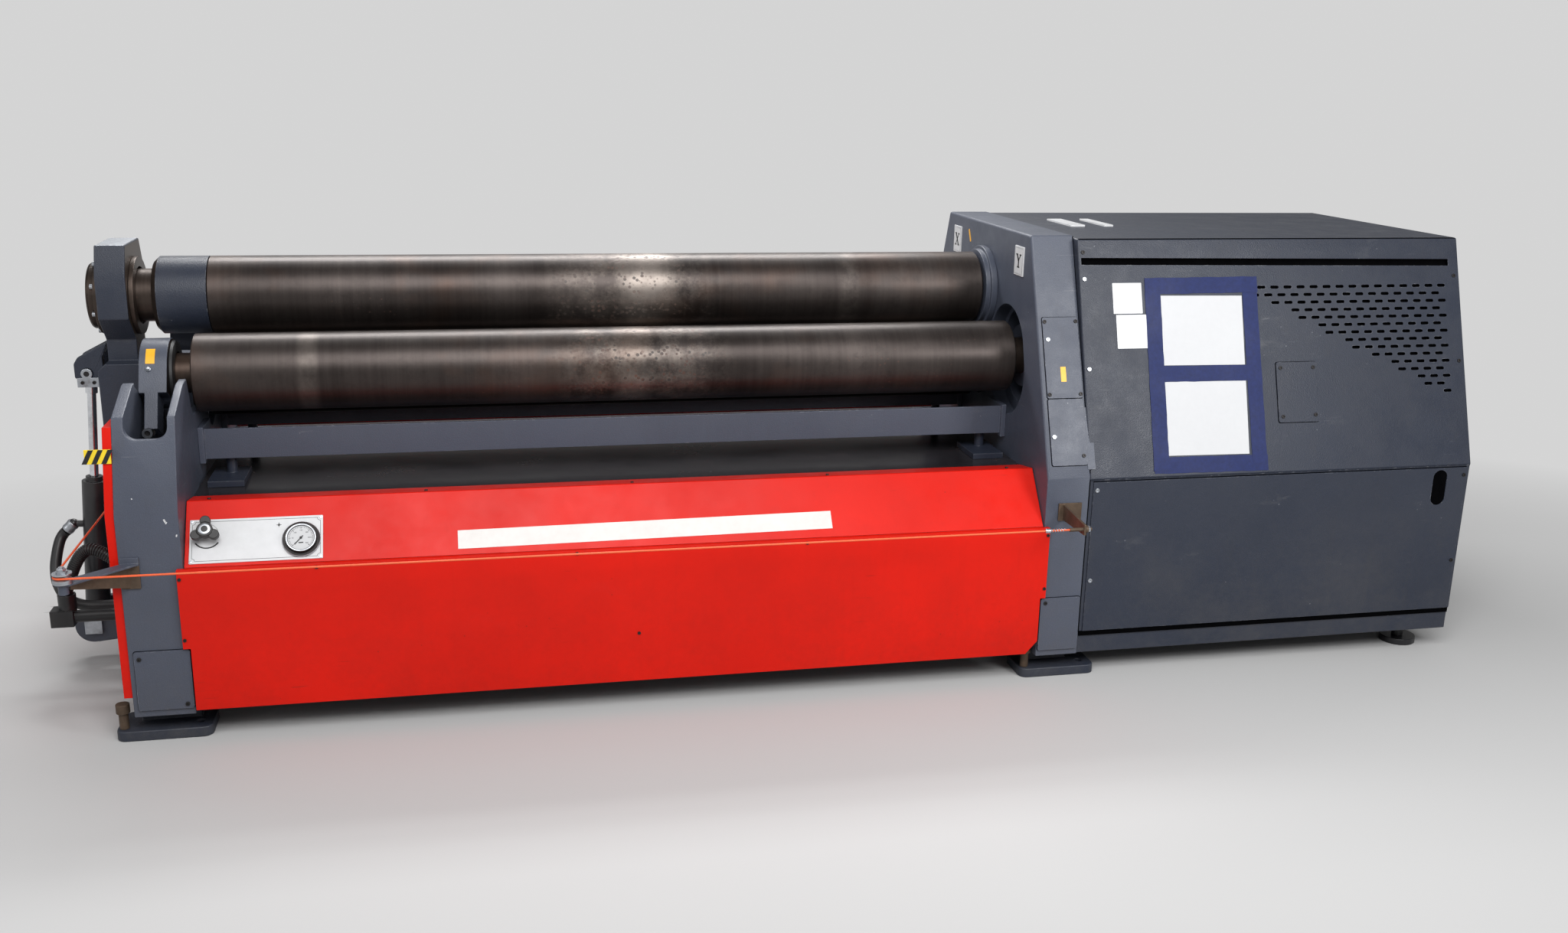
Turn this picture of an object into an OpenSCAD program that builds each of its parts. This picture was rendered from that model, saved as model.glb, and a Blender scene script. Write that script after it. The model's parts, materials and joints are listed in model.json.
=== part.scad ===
// Four-roll plate bending machine. Units are mm.
// X runs along the rolls with the drive cabinet at +X, Y is through the machine,
// with the infeed side at -Y, and Z is up.
// The floor is Z = 0 and the origin is the middle of the overall length and depth.
// Lengths along X are first measured from the inner face of the drop-end frame,
// then every node is shifted once.

/* [Frames] */
// Clear distance between the two frames
frame_gap = 2150; // [1200:10:3200]
// Thickness of the drop-end frame along X
left_frame_w = 139; // [100:1:200]
// Thickness of the drive-end frame along X
right_frame_w = 120; // [100:1:200]
// Half depth of the machine at its foot
half_depth = 565; // [450:5:800]
// Height where the frame fronts bend back
bend_z = 569; // [400:1:800]
// Height of the drive-end frame
frame_top_z = 1180; // [1060:5:1500]
// Half depth of the drive-end frame at its top
top_half_depth = 334; // [250:1:500]
// Height of the frames' undersides above the floor
frame_bottom_z = 66; // [40:1:120]
// Height of the ears on the drop-end frame
ear_z = 835; // [820:1:845]

/* [Rolls] */
// Radius of the top roll
top_roll_r = 100; // [85:1:108]
// Height of the top roll's axis
top_roll_z = 996; // [992:1:1030]
// Radius of the bottom and side rolls
roll_r = 98; // [80:1:99]
// Height of the bottom roll's axis
bottom_roll_z = 775; // [745:1:775]
// Distance of a side roll's axis from the middle plane
side_roll_y = 205; // [203:1:215]
// Height of a side roll's axis
side_roll_z = 830; // [822:1:832]
// Distance from each frame's inner face to the roll barrels, drop end
barrel_start = 6; // [6:1:40]
// Distance from the drive-end frame to the barrels of the top and bottom rolls
barrel_end_gap = 38; // [37:1:60]
// Distance from the drive-end frame to the barrels of the side rolls
side_barrel_gap = 4; // [3:1:60]
// Radius of the side rolls' journals
side_journal_r = 50; // [35:1:52]
// Radius of the bottom roll's journals
bottom_journal_r = 45; // [30:1:47]
// Radius of the top roll's neck
top_neck_r = 68; // [50:1:70]
// Length of the painted end of the top roll
painted_end_l = 133; // [60:1:200]
// How far the top roll's barrel runs past the drop-end frame's inner face
top_roll_overrun = 108; // [90:1:112]

/* [Drive cabinet] */
// Length of the drive cabinet along X
cabinet_l = 1154; // [600:1:1800]
// Height of the cabinet
cabinet_top_z = 1174; // [900:2:1500]
// Height where the cabinet's front bends back
cabinet_bend_z = 560; // [500:1:700]
// Half depth of the cabinet at its top
cabinet_top_half = 366; // [300:1:480]
// Height of the underside of the cabinet's lower panels
panel_bottom_z = 127; // [100:1:200]

/* [Covers] */
// Height of the crease between the upper and lower red covers
crease_z = 436; // [300:1:520]
// Height of the lower edge of the red covers
cover_bottom_z = 80; // [70:1:140]
// Height of the deck plate between the red covers
deck_z = 553; // [500:1:580]
// Half depth of the red covers at their top edge
cover_top_half = 460; // [400:1:520]

/* [Drop end] */
// Angle the drop-end yoke opens
yoke_open_deg = 70; // [30:1:75]
// Thickness of the yoke head along X
yoke_t = 72; // [50:1:80]
// Half width of the yoke head
yoke_half_w = 118; // [105:1:130]
// Radius of the drop-end cylinder's barrel
cylinder_r = 31; // [20:1:32]
// Radius of the drop-end cylinder's rod
rod_r = 11; // [8:1:14]

/* [Trip wire] */
// Height of the emergency trip wire
wire_z = 470; // [420:1:500]
// Distance of the trip wire from the middle plane
wire_y = 700; // [640:1:760]

/* [Hidden] */
$fn = 48;
// running gap between a turning or sliding piece and what holds it
fit = 0.3;
// sizes along X
lf0 = -left_frame_w;
rf0 = frame_gap;
rf1 = frame_gap + right_frame_w;
cab1 = rf1 + cabinet_l;
bend_block_x0 = lf0 - 257;
bend_block_x1 = lf0 - 201;
mid_x = (cab1 + bend_block_x0) / 2;
outer_plate = 26;
inner_plate = 18;
cav0 = lf0 + outer_plate;
cav1 = -inner_plate;
bx0 = barrel_start;
bx1 = frame_gap - barrel_end_gap;
// wells in the drive-end frame: opening, then a wider seat for the bearing blocks
well_open = 40;
well_deep = 108;
block_r = 88;
bottom_block_r = 65;
// flange round the top roll
flange_r = 118;
flange_t = 18;
// travel of the side rolls: unit direction up and inward
sd_y = 0.45;
sd_z = 0.893;
side_up = 34;
side_down = 35;
// travel of the bottom roll
bottom_up = 18;
bottom_down = 45;
// feet under the frames
foot_t = 26;
foot_y0 = -half_depth + 9;
foot_y1 = -half_depth + 130;
foot_corner_r = 22;
foot_pad_y = -half_depth + 73;
foot_hole_r = 10;
foot_hole_y = -half_depth + 49;
foot_hole_in = 33;
jack_y = -half_depth + 33;
jack_r = 11;
jack_head_r = 16;
jack_head_z = 67;
// drop-end frame outline, and the room inside it
front_wall = 30;
ear_y = 367;
upper_bend_y = 497;
upper_bend_z = 786;
// yoke
yoke_x1 = lf0 - 21;
yoke_x0 = yoke_x1 - yoke_t;
hinge_x = lf0 - 61;
hinge_z = 655;
hinge_pin_r = 20;
upper_pin_x = lf0 - 150;
upper_pin_z = 801;
lower_pin_x = lf0 - 197;
lower_pin_z = 116;
link_pin_r = 14;
yoke_bore_r = 92;
yoke_top_z = 1134;
spigot_r = 45;
cheek_y0 = 20;
cheek_y1 = 44;
lug_y0 = 38;
lug_y1 = 60;
cyl_dx = lower_pin_x - upper_pin_x;
cyl_dz = upper_pin_z - lower_pin_z;
cyl_len = sqrt(cyl_dx * cyl_dx + cyl_dz * cyl_dz);
cyl_tilt = atan2(cyl_dx, cyl_dz);
barrel_l = 390;
port_h = 268;
port_l = 24;
port_turn = 220;
collar_l = 26;
collar_r = 15;
// covers
cover_t = 3;
cover_foot_y = half_depth - 3;
cover_top_z = 569;
deck_lap_y = 372;
lower_cover_y = half_depth + 10;
hook = 14;
hook_z = 238;
deck_t = 4;
side_cover_d = 20;
// beams under the side rolls
beam_y0 = -232;
beam_y1 = -132;
beam_z0 = 612;
beam_z1 = 690;
beam_t = 8;
beam_end_t = 14;
wire_r = 2.5;

blue = [0.36, 0.40, 0.47];
red = [0.80, 0.16, 0.10];
steel = [0.36, 0.31, 0.28];
bright = [0.75, 0.76, 0.77];
dark = [0.13, 0.13, 0.14];

module place() { translate([-mid_x, 0, 0]) children(); }
module both() { children(); mirror([0, 1, 0]) children(); }
module block(a, b) { translate(a) cube(b - a); }
// a profile given as [y, z] points, drawn out along X
module along_x(x0, x1, pts)
    translate([x0, 0, 0]) rotate([90, 0, 90]) linear_extrude(x1 - x0) polygon(pts);
// a profile given as [x, z] points, drawn out along Y
module along_y(y0, y1, pts)
    translate([0, y1, 0]) rotate([90, 0, 0]) linear_extrude(y1 - y0) polygon(pts);
module x_rod(x0, x1, y, z, r) translate([x0, y, z]) rotate([0, 90, 0]) cylinder(h = x1 - x0, r = r);
module x_cone(x0, x1, y, z, r0, r1)
    translate([x0, y, z]) rotate([0, 90, 0]) cylinder(h = x1 - x0, r1 = r0, r2 = r1);
module y_rod(y0, y1, x, z, r) translate([x, y0, z]) rotate([-90, 0, 0]) cylinder(h = y1 - y0, r = r);
module z_rod(z0, z1, x, y, r) translate([x, y, z0]) cylinder(h = z1 - z0, r = r);
// a slot whose ends are round, along X, between two [y, z] centres
module x_slot(x0, x1, a, b, r) {
    x_rod(x0, x1, a[0], a[1], r);
    x_rod(x0, x1, b[0], b[1], r);
    d = b - a;
    l = norm(d);
    // the sides lie a hair inside the round ends, so that they cross them cleanly
    n = [-d[1], d[0]] / l * (r - 0.05);
    along_x(x0, x1, [a + n, a - n, b - n, b + n]);
}
function side_at(s) = [-side_roll_y + sd_y * s, side_roll_z + sd_z * s];

// ---- frames
module left_frame_half_cut() {
    // room for the side roll's journal in the inner plate, open at the top
    along_x(cav1 - 1, 1, [[-318, ear_z + 50], [-318, ear_z], [-288, 762], [-265, 738], [-165, 738],
        [-120, 800], [-112, 850], [-112, ear_z + 80]]);
    // the outer plate falls away toward the yoke
    along_x(lf0 - 1, cav0 + 1, [[-345, ear_z + 60], [-345, ear_z - 8], [-230, 765], [-150, 715],
        [1, 715], [1, ear_z + 60]]);
    // round-bottomed notch in the front plate
    notch_r = 28;
    notch_z = 735;
    y0 = -half_depth - 55;
    y1 = -330;
    block([cav0, y0, notch_z + notch_r], [cav1, y1, 1000]);
    block([cav0 + notch_r, y0, notch_z], [cav1 - notch_r, y1, 1000]);
    for (x = [cav0 + notch_r, cav1 - notch_r]) y_rod(y0, y1, x, notch_z + notch_r, notch_r);
}
module left_frame() {
    color(blue) place() difference() {
        union() {
            along_x(lf0, 0, [[-half_depth, frame_bottom_z], [-half_depth, bend_z],
                [-upper_bend_y, upper_bend_z], [-ear_y, ear_z], [-112, ear_z + 15], [112, ear_z + 15],
                [ear_y, ear_z], [upper_bend_y, upper_bend_z], [half_depth, bend_z],
                [half_depth, frame_bottom_z]]);
            // hinge lugs for the yoke
            both() along_y(-140, -108, [[lf0 + 1, hinge_z - 70], [hinge_x, hinge_z - 40],
                [hinge_x - 28, hinge_z - 28], [hinge_x - 40, hinge_z], [hinge_x - 28, hinge_z + 28],
                [hinge_x, hinge_z + 40], [lf0 + 1, hinge_z + 45]]);
        }
        // space for the bearing blocks between the side plates
        along_x(cav0, cav1, [[front_wall - half_depth, 620], [19 - upper_bend_y, upper_bend_z],
            [17 - ear_y, 950], [ear_y - 17, 950], [upper_bend_y - 19, upper_bend_z],
            [half_depth - front_wall, 620]]);
        both() left_frame_half_cut();
        // slot for the bottom roll's journal
        x_rod(cav1 - 1, 1, 0, 708, 60);
        block([cav1 - 1, -60, 708], [1, 60, 1000]);
        // bore for the yoke's hinge pin
        y_rod(-145, 145, hinge_x, hinge_z, hinge_pin_r + 0.02);
    }
}
module right_frame() {
    color(blue) place() difference() {
        along_x(rf0, rf1, [[-half_depth, frame_bottom_z], [-half_depth, bend_z],
            [-top_half_depth, frame_top_z], [top_half_depth, frame_top_z], [half_depth, bend_z],
            [half_depth, frame_bottom_z]]);
        // openings round the side rolls' journals, and the wells behind them for the bearing blocks
        both() x_slot(rf0 - 1, rf0 + well_open, [-side_roll_y, side_roll_z + 12],
            [-side_roll_y - 13, side_roll_z - 30], block_r + 44);
        both() x_slot(rf0 + well_open - 1, rf0 + well_deep, side_at(side_up), side_at(-side_down),
            block_r + 8);
        // opening and well for the bottom roll
        top = [0, bottom_roll_z + bottom_up];
        low = [0, bottom_roll_z - bottom_down];
        x_slot(rf0 - 1, rf0 + well_open, top, low, 52);
        x_slot(rf0 + well_open - 1, rf0 + well_deep, top, low, bottom_block_r + 6);
        // bore for the top roll's journal
        x_rod(rf0 - 1, rf0 + well_deep, 0, top_roll_z, top_neck_r + fit);
    }
}
module roll_flange() {
    color(bright) place() difference() {
        union() {
            x_rod(rf0 - flange_t, rf0, 0, top_roll_z, flange_r);
            x_rod(rf0 - flange_t - 13, rf0 - flange_t, 0, top_roll_z, flange_r - 10);
        }
        x_rod(rf0 - flange_t - 14, rf0 + 1, 0, top_roll_z, top_neck_r + fit);
    }
}
module base_ties() {
    color(blue) place() both() {
        block([0, 65 - half_depth, 100], [frame_gap, 145 - half_depth, 200]);
    }
}

// ---- feet
// outline of a plate with round corners
function corner(x, y, r, a) = [for (k = [0 : 5]) [x + r * cos(a + 18 * k), y + r * sin(a + 18 * k)]];
function round_plate(x0, x1, y0, y1, r) = concat(corner(x1 - r, y1 - r, r, 0), corner(x0 + r, y1 - r, r, 90),
    corner(x0 + r, y0 + r, r, 180), corner(x1 - r, y0 + r, r, 270));
// a foot plate with its bolt hole, and the pad under the frame
module foot(x0, x1, pad_x0, pad_x1) {
    difference() {
        linear_extrude(foot_t) polygon(round_plate(x0, x1, foot_y0, foot_y1, foot_corner_r));
        z_rod(-1, foot_t + 1, x1 - foot_hole_in, foot_hole_y, foot_hole_r);
    }
    block([pad_x0, foot_pad_y, foot_t], [pad_x1, foot_y1 - 6, frame_bottom_z]);
}
module frame_feet() {
    color(blue) place() both() {
        foot(lf0 - 49, 32, lf0 + 1, -1);
        foot(rf0 - 35, rf1 + 62, rf0 + 1, rf1 - 1);
    }
}
module cabinet_feet() {
    color(dark) place() both() {
        y = 95 - half_depth;
        z_rod(0, 18, cab1 - 90, y, 50);
        z_rod(18, frame_bottom_z, cab1 - 90, y, 16);
    }
}
module levelling_bolts() {
    color(steel) place() both() for (x = [lf0 - 32, rf0 - 18]) {
        z_rod(foot_t, jack_head_z, x, jack_y, jack_r);
        z_rod(jack_head_z, jack_head_z + 23, x, jack_y, jack_head_r);
    }
}

// ---- rolls
module top_roll() {
    color(steel) place() {
        x_rod(painted_end_l - top_roll_overrun, bx1, 0, top_roll_z, top_roll_r);
        x_rod(bx1, rf0 + well_deep - 8, 0, top_roll_z, top_neck_r);
    }
}
module top_roll_end() {
    color(blue) place() {
        x_rod(-top_roll_overrun, painted_end_l - top_roll_overrun, 0, top_roll_z, top_roll_r);
        x_rod(yoke_x1 - 2, -top_roll_overrun, 0, top_roll_z, top_neck_r);
        x_cone(yoke_x0 + 10, yoke_x1 - 2, 0, top_roll_z, spigot_r, top_neck_r - 2);
    }
}
module plain_roll(x1, y, z, jr) {
    x_rod(bx0, x1, y, z, roll_r);
    x_rod(cav0 + 12, bx0, y, z, jr);
    x_rod(x1, rf0 + well_deep - 12, y, z, jr);
}
module side_roll() { plain_roll(frame_gap - side_barrel_gap, -side_roll_y, side_roll_z, side_journal_r); }
module front_roll() { color(steel) place() side_roll(); }
module rear_roll() { color(steel) place() mirror([0, 1, 0]) side_roll(); }
module bottom_roll() { color(steel) place() plain_roll(bx1, 0, bottom_roll_z, bottom_journal_r); }

// ---- bearing blocks of the side and bottom rolls
module side_blocks() {
    n = [sd_z, -sd_y];
    c = [-side_roll_y, side_roll_z];
    d = [sd_y, sd_z];
    block_x1 = -48;
    body_l = 73;
    tongue_l = 163;
    difference() {
        union() {
            // drop end: round head, then a body down the slide, then a narrow tongue
            x_rod(cav0 + fit, block_x1, c[0], c[1], block_r);
            along_x(cav0 + fit, block_x1, [c + n * 70, c - n * block_r, c - n * block_r - d * body_l,
                c + n * 70 - d * body_l]);
            along_x(cav0 + 14, block_x1 - 20, [c - n * 20 - d * (body_l - 1),
                c - n * block_r - d * (body_l - 1), c - n * block_r - d * tongue_l,
                c - n * 20 - d * tongue_l]);
        }
        x_rod(cav0, 0, c[0], c[1], side_journal_r + fit);
    }
    // drive end: round block in its well
    difference() {
        x_rod(rf0 + well_open + 6, rf0 + well_deep - fit, c[0], c[1], block_r);
        x_rod(rf0 + well_open, rf0 + well_deep - 11, c[0], c[1], side_journal_r + fit);
    }
}
module front_blocks() { color(blue) place() side_blocks(); }
module rear_blocks() { color(blue) place() mirror([0, 1, 0]) side_blocks(); }
module bottom_blocks() {
    color(blue) place() {
        difference() {
            block([cav0 + fit, -70, bottom_roll_z - 70], [cav1 - fit, 70, bottom_roll_z + 62]);
            x_rod(cav0, 0, 0, bottom_roll_z, bottom_journal_r + fit);
        }
        difference() {
            x_rod(rf0 + well_open + 6, rf0 + well_deep - fit, 0, bottom_roll_z, bottom_block_r);
            x_rod(rf0 + well_open, rf0 + well_deep - 11, 0, bottom_roll_z, bottom_journal_r + fit);
        }
    }
}

// ---- drop-end yoke and its cylinder
module drop_yoke() {
    neck = 55;
    crown = 85;
    foot_half = 100;
    foot_x0 = yoke_x0 - 18;
    foot_x1 = yoke_x1 + 10;
    foot_top_z = 835;
    color(blue) place() difference() {
        union() {
            // eight-sided head on a narrow neck
            along_x(yoke_x0, yoke_x1, [[-neck, hinge_z + 150], [-neck, top_roll_z - 106],
                [-yoke_half_w, top_roll_z - 44], [-yoke_half_w, top_roll_z + 60], [-crown, yoke_top_z],
                [crown, yoke_top_z], [yoke_half_w, top_roll_z + 60], [yoke_half_w, top_roll_z - 44],
                [neck, top_roll_z - 106], [neck, hinge_z + 150]]);
            // thick foot that carries the hinge
            along_y(-foot_half, foot_half, [[foot_x1, hinge_z], [foot_x1, foot_top_z], [yoke_x0, foot_top_z],
                [foot_x0, foot_top_z - 18], [foot_x0, hinge_z]]);
            y_rod(-foot_half, foot_half, hinge_x, hinge_z, 50);
            // two cheeks for the cylinder's rod eye
            both() along_y(-cheek_y1, -cheek_y0, [[yoke_x0 + 2, upper_pin_z + 83],
                [upper_pin_x - 20, upper_pin_z + 41], [upper_pin_x - 30, upper_pin_z + 25],
                [upper_pin_x - 30, upper_pin_z - 11], [upper_pin_x - 12, upper_pin_z - 25],
                [foot_x0 + 1, upper_pin_z - 33], [foot_x0 + 1, upper_pin_z + 43]]);
        }
        // seat for the bearing
        x_rod(yoke_x0 - 1, yoke_x1 + 1, 0, top_roll_z, yoke_bore_r);
        y_rod(-foot_half - 5, foot_half + 5, hinge_x, hinge_z, hinge_pin_r + fit);
        y_rod(-cheek_y1 - 1, cheek_y1 + 1, upper_pin_x, upper_pin_z, link_pin_r);
    }
}
module yoke_bearing() {
    color(steel) place() difference() {
        union() {
            x_rod(yoke_x0, yoke_x1, 0, top_roll_z, yoke_bore_r);
            x_rod(yoke_x1, yoke_x1 + 12, 0, top_roll_z, yoke_bore_r + 8);
            x_rod(yoke_x0 - 12, yoke_x0, 0, top_roll_z, yoke_bore_r + 6);
            x_rod(yoke_x0 - 28, yoke_x0 - 12, 0, top_roll_z, yoke_bore_r - 8);
        }
        x_cone(yoke_x0 + 9, yoke_x1 - 2, 0, top_roll_z, spigot_r + fit, top_neck_r - 1);
        x_rod(yoke_x1 - 2.2, yoke_x1 + 13, 0, top_roll_z, top_neck_r + 6);
    }
}
module frame_pins() {
    color(bright) place() {
        y_rod(-150, 150, hinge_x, hinge_z, hinge_pin_r);
        y_rod(-lug_y1 - 5, lug_y1, lower_pin_x, lower_pin_z, link_pin_r - 0.02);
        block([lower_pin_x - 20, -lug_y1 - 10, lower_pin_z - 20],
            [lower_pin_x + 24, -lug_y1, lower_pin_z + 24]);
    }
}
module yoke_pin() {
    color(bright) place() {
        // a headed pin in each cheek
        both() y_rod(-cheek_y1 - 6, -cheek_y0, upper_pin_x, upper_pin_z, link_pin_r - 0.02);
        block([upper_pin_x - 24, -cheek_y1 - 6, upper_pin_z - 35],
            [upper_pin_x + 30, -cheek_y1, upper_pin_z - 10]);
    }
}
module cylinder_lug() {
    color(blue) place() {
        difference() {
            union() {
                both() along_y(-lug_y1, -lug_y0, [[lf0, 90], [lower_pin_x + 10, 70], [lower_pin_x - 30, 82],
                    [lower_pin_x - 42, 108], [lower_pin_x - 34, 140], [lower_pin_x - 5, 160],
                    [lower_pin_x + 64, 172], [lower_pin_x + 104, 200], [lf0, 230]]);
                both() y_rod(-lug_y1, -lug_y0, lower_pin_x, lower_pin_z, 46);
            }
            y_rod(-lug_y1 - 5, lug_y1 + 5, lower_pin_x, lower_pin_z, link_pin_r);
        }
    }
}
// the cylinder is drawn upright from its lower pin, then tilted into line with the upper pin
module in_line() { translate([lower_pin_x, 0, lower_pin_z]) rotate([0, -cyl_tilt, 0]) children(); }
module cylinder_barrel() {
    color(dark) place() in_line() {
        difference() {
            union() {
                z_rod(40, barrel_l, 0, 0, cylinder_r);
                y_rod(-30, 30, 0, 0, 30);
                block([-20, -22, 0], [20, 22, 45]);
                z_rod(barrel_l, barrel_l + 12, 0, 0, 21);
            }
            z_rod(60, barrel_l + 20, 0, 0, rod_r + fit);
            y_rod(-35, 35, 0, 0, link_pin_r + fit);
        }
        // port for the hose, its knuckle, and the collar crimped on the hose's end
        x_rod(-cylinder_r - port_l, -cylinder_r + 1, 0, port_h, 9);
        translate([-cylinder_r - port_l, 0, port_h]) {
            sphere(r = collar_r - 2);
            rotate([0, port_turn, 0]) cylinder(h = collar_l, r = collar_r);
        }
    }
}
module cylinder_rod() {
    color(bright) place() in_line() difference() {
        union() {
            z_rod(265, cyl_len - 20, 0, 0, rod_r);
            y_rod(-17, 17, 0, cyl_len, 22);
            z_rod(cyl_len - 60, cyl_len - 15, 0, 0, 15);
        }
        y_rod(-35, 35, 0, cyl_len, 10);
    }
}

// ---- drive cabinet
module cabinet_housing() {
    color(blue) place() along_x(rf1, cab1, [[-half_depth + cover_t, panel_bottom_z],
        [-half_depth + cover_t, cabinet_bend_z - cover_t], [-half_depth, cabinet_bend_z],
        [-cabinet_top_half, cabinet_top_z], [cabinet_top_half, cabinet_top_z],
        [half_depth, cabinet_bend_z], [half_depth - cover_t, cabinet_bend_z - cover_t],
        [half_depth - cover_t, panel_bottom_z]]);
}
module cabinet_panels() {
    color(blue) place() both()
        block([rf1 + 12, -half_depth, panel_bottom_z + 4],
            [cab1 - 10, -half_depth + cover_t, cabinet_bend_z - 7]);
}
module cabinet_base() {
    color(blue) place()
        block([rf1, -half_depth + 6, frame_bottom_z], [cab1 - 4, half_depth - 6, panel_bottom_z]);
}

// ---- red covers and the deck between them
module upper_cover() {
    along_x(2, frame_gap - 2, [[-cover_foot_y, crease_z], [-cover_top_half - 1, cover_top_z],
        [-cover_top_half + 2, cover_top_z + 1], [-deck_lap_y, deck_z + cover_t], [-deck_lap_y, deck_z],
        [-cover_top_half + 1, cover_top_z - 2.5], [-cover_foot_y + cover_t + 1, crease_z]]);
}
module lower_cover() {
    y0 = -lower_cover_y - cover_t;
    x1 = frame_gap + hook - 2;
    block([-hook, y0, hook_z], [x1, -lower_cover_y, crease_z]);
    translate([0, -lower_cover_y, 0]) rotate([90, 0, 0]) linear_extrude(cover_t)
        polygon([[3, hook_z], [3, cover_bottom_z], [frame_gap - 35, cover_bottom_z],
            [frame_gap - 3, cover_bottom_z + 36], [frame_gap - 3, hook_z]]);
    // lip under the crease and folded edges on the frame fronts
    block([3, -lower_cover_y, crease_z - cover_t], [frame_gap - 3, -cover_foot_y, crease_z]);
    block([-hook, -lower_cover_y, crease_z - cover_t], [x1, -half_depth, crease_z]);
    block([-hook, -lower_cover_y, hook_z], [-hook + cover_t, -half_depth, crease_z]);
    block([x1 - cover_t, -lower_cover_y, hook_z], [x1, -half_depth, crease_z]);
}
module front_upper_cover() { color(red) place() upper_cover(); }
module rear_upper_cover() { color(red) place() mirror([0, 1, 0]) upper_cover(); }
module front_lower_cover() { color(red) place() lower_cover(); }
module rear_lower_cover() { color(red) place() mirror([0, 1, 0]) lower_cover(); }
module deck_plate() {
    color(dark) place() block([0, -400, deck_z - deck_t], [frame_gap, 400, deck_z]);
}

// ---- open channels under the side rolls
module beam() {
    block([beam_end_t, beam_y0, beam_z0], [frame_gap - beam_end_t, beam_y0 + beam_t, beam_z1]);
    block([beam_end_t, beam_y0, beam_z0], [frame_gap - beam_end_t, beam_y1, beam_z0 + beam_t]);
    block([beam_end_t, beam_y1 - beam_t, beam_z0], [frame_gap - beam_end_t, beam_y1, beam_z1 - 24]);
    block([0, beam_y0 - 8, beam_z0 - 10], [beam_end_t, beam_y1 + 6, beam_z1 + 5]);
    block([frame_gap - beam_end_t, beam_y0 - 8, beam_z0 - 10], [frame_gap, beam_y1 + 6, beam_z1 + 5]);
}
module front_beam() { color(blue) place() beam(); }
module rear_beam() { color(blue) place() mirror([0, 1, 0]) beam(); }
module beam_supports() {
    color(bright) place() both() for (x = [22, frame_gap - 110]) {
        block([x, -292, deck_z], [x + 88, -150, deck_z + 16]);
        z_rod(deck_z + 16, beam_z0, x + 48, -200, 13);
    }
}

// ---- plates on the frames and cabinet
module on_frame_front() {
    translate([0, -half_depth, bend_z])
        rotate([atan2(frame_top_z - bend_z, half_depth - top_half_depth), 0, 0]) children();
}
module on_cabinet_front() {
    translate([0, -half_depth, cabinet_bend_z])
        rotate([atan2(cabinet_top_z - cabinet_bend_z, half_depth - cabinet_top_half), 0, 0]) children();
}
module access_plates() {
    color(blue) place() {
        on_frame_front() block([rf0 + 14, 32, 0], [rf1 - 6, 210, 4]);
        on_frame_front() block([rf0 + 14, 212, 0], [rf1 - 6, 430, 4]);
        on_cabinet_front() block([rf1 + 562, 136, 0], [rf1 + 683, 302, 4]);
        // plates low on the fronts of both frames
        both() block([lf0 + 12, -half_depth - 5, 84], [-1, -half_depth, 234]);
        both() block([rf0 + 3, -half_depth - 5, 84], [rf1 - 4, -half_depth, 234]);
        // plates on the inner face of the drive-end frame
        block([rf0 - 4, -301, 1064], [rf0, -237, 1144]);
        block([rf0 - 4, 210, 1066], [rf0, 276, 1146]);
    }
}
module on_cover() {
    translate([0, -cover_foot_y, crease_z])
        rotate([atan2(cover_top_z - crease_z, cover_foot_y - 1 - cover_top_half), 0, 0]) children();
}
knob_x = 51;
knob_s = 81;
gauge_x = 265;
gauge_s = 57;
module control_plate() {
    color(bright) place() on_cover() difference() {
        block([12, 8, 0], [314, 118, 2]);
        translate([knob_x, knob_s, -1]) cylinder(h = 4, r = 8);
    }
}
module pressure_gauge() {
    color(dark) place() on_cover() translate([gauge_x, gauge_s, 2]) {
        cylinder(h = 7, r = 44);
        cylinder(h = 17, r = 36);
    }
}
module star_knob() {
    color(dark) place() on_cover() translate([knob_x, knob_s, 2.3]) {
        cylinder(h = 20, r = 7);
        translate([0, 0, 18]) cylinder(h = 20, r = 18);
        for (a = [90, 210, 330]) rotate(a) translate([23, 0, 20]) cylinder(h = 15, r = 12);
    }
}

// ---- side covers and guards at the drop end
module side_cover() {
    y0 = half_depth - 5;
    y1 = upper_bend_y + 6;
    y2 = 160;
    z0 = 115;
    z1 = 765;
    difference() {
        along_x(lf0 - side_cover_d, lf0, [[-y0, z0], [-y0, bend_z], [-y1, z1], [-y2, z1], [-y2, z0]]);
        along_x(lf0 - side_cover_d + cover_t, lf0 + 1, [[cover_t - y0, z0 + cover_t], [cover_t - y0, bend_z],
            [cover_t - 1 - y1, z1 - cover_t], [-y2 - cover_t, z1 - cover_t], [-y2 - cover_t, z0 + cover_t]]);
    }
}
module side_covers() { color(red) place() both() side_cover(); }
module guard_bars() {
    color([0.85, 0.75, 0.15]) place() both()
        block([lf0 - 57, -530.5, 686], [lf0, -526.5, 720]);
}

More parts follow.
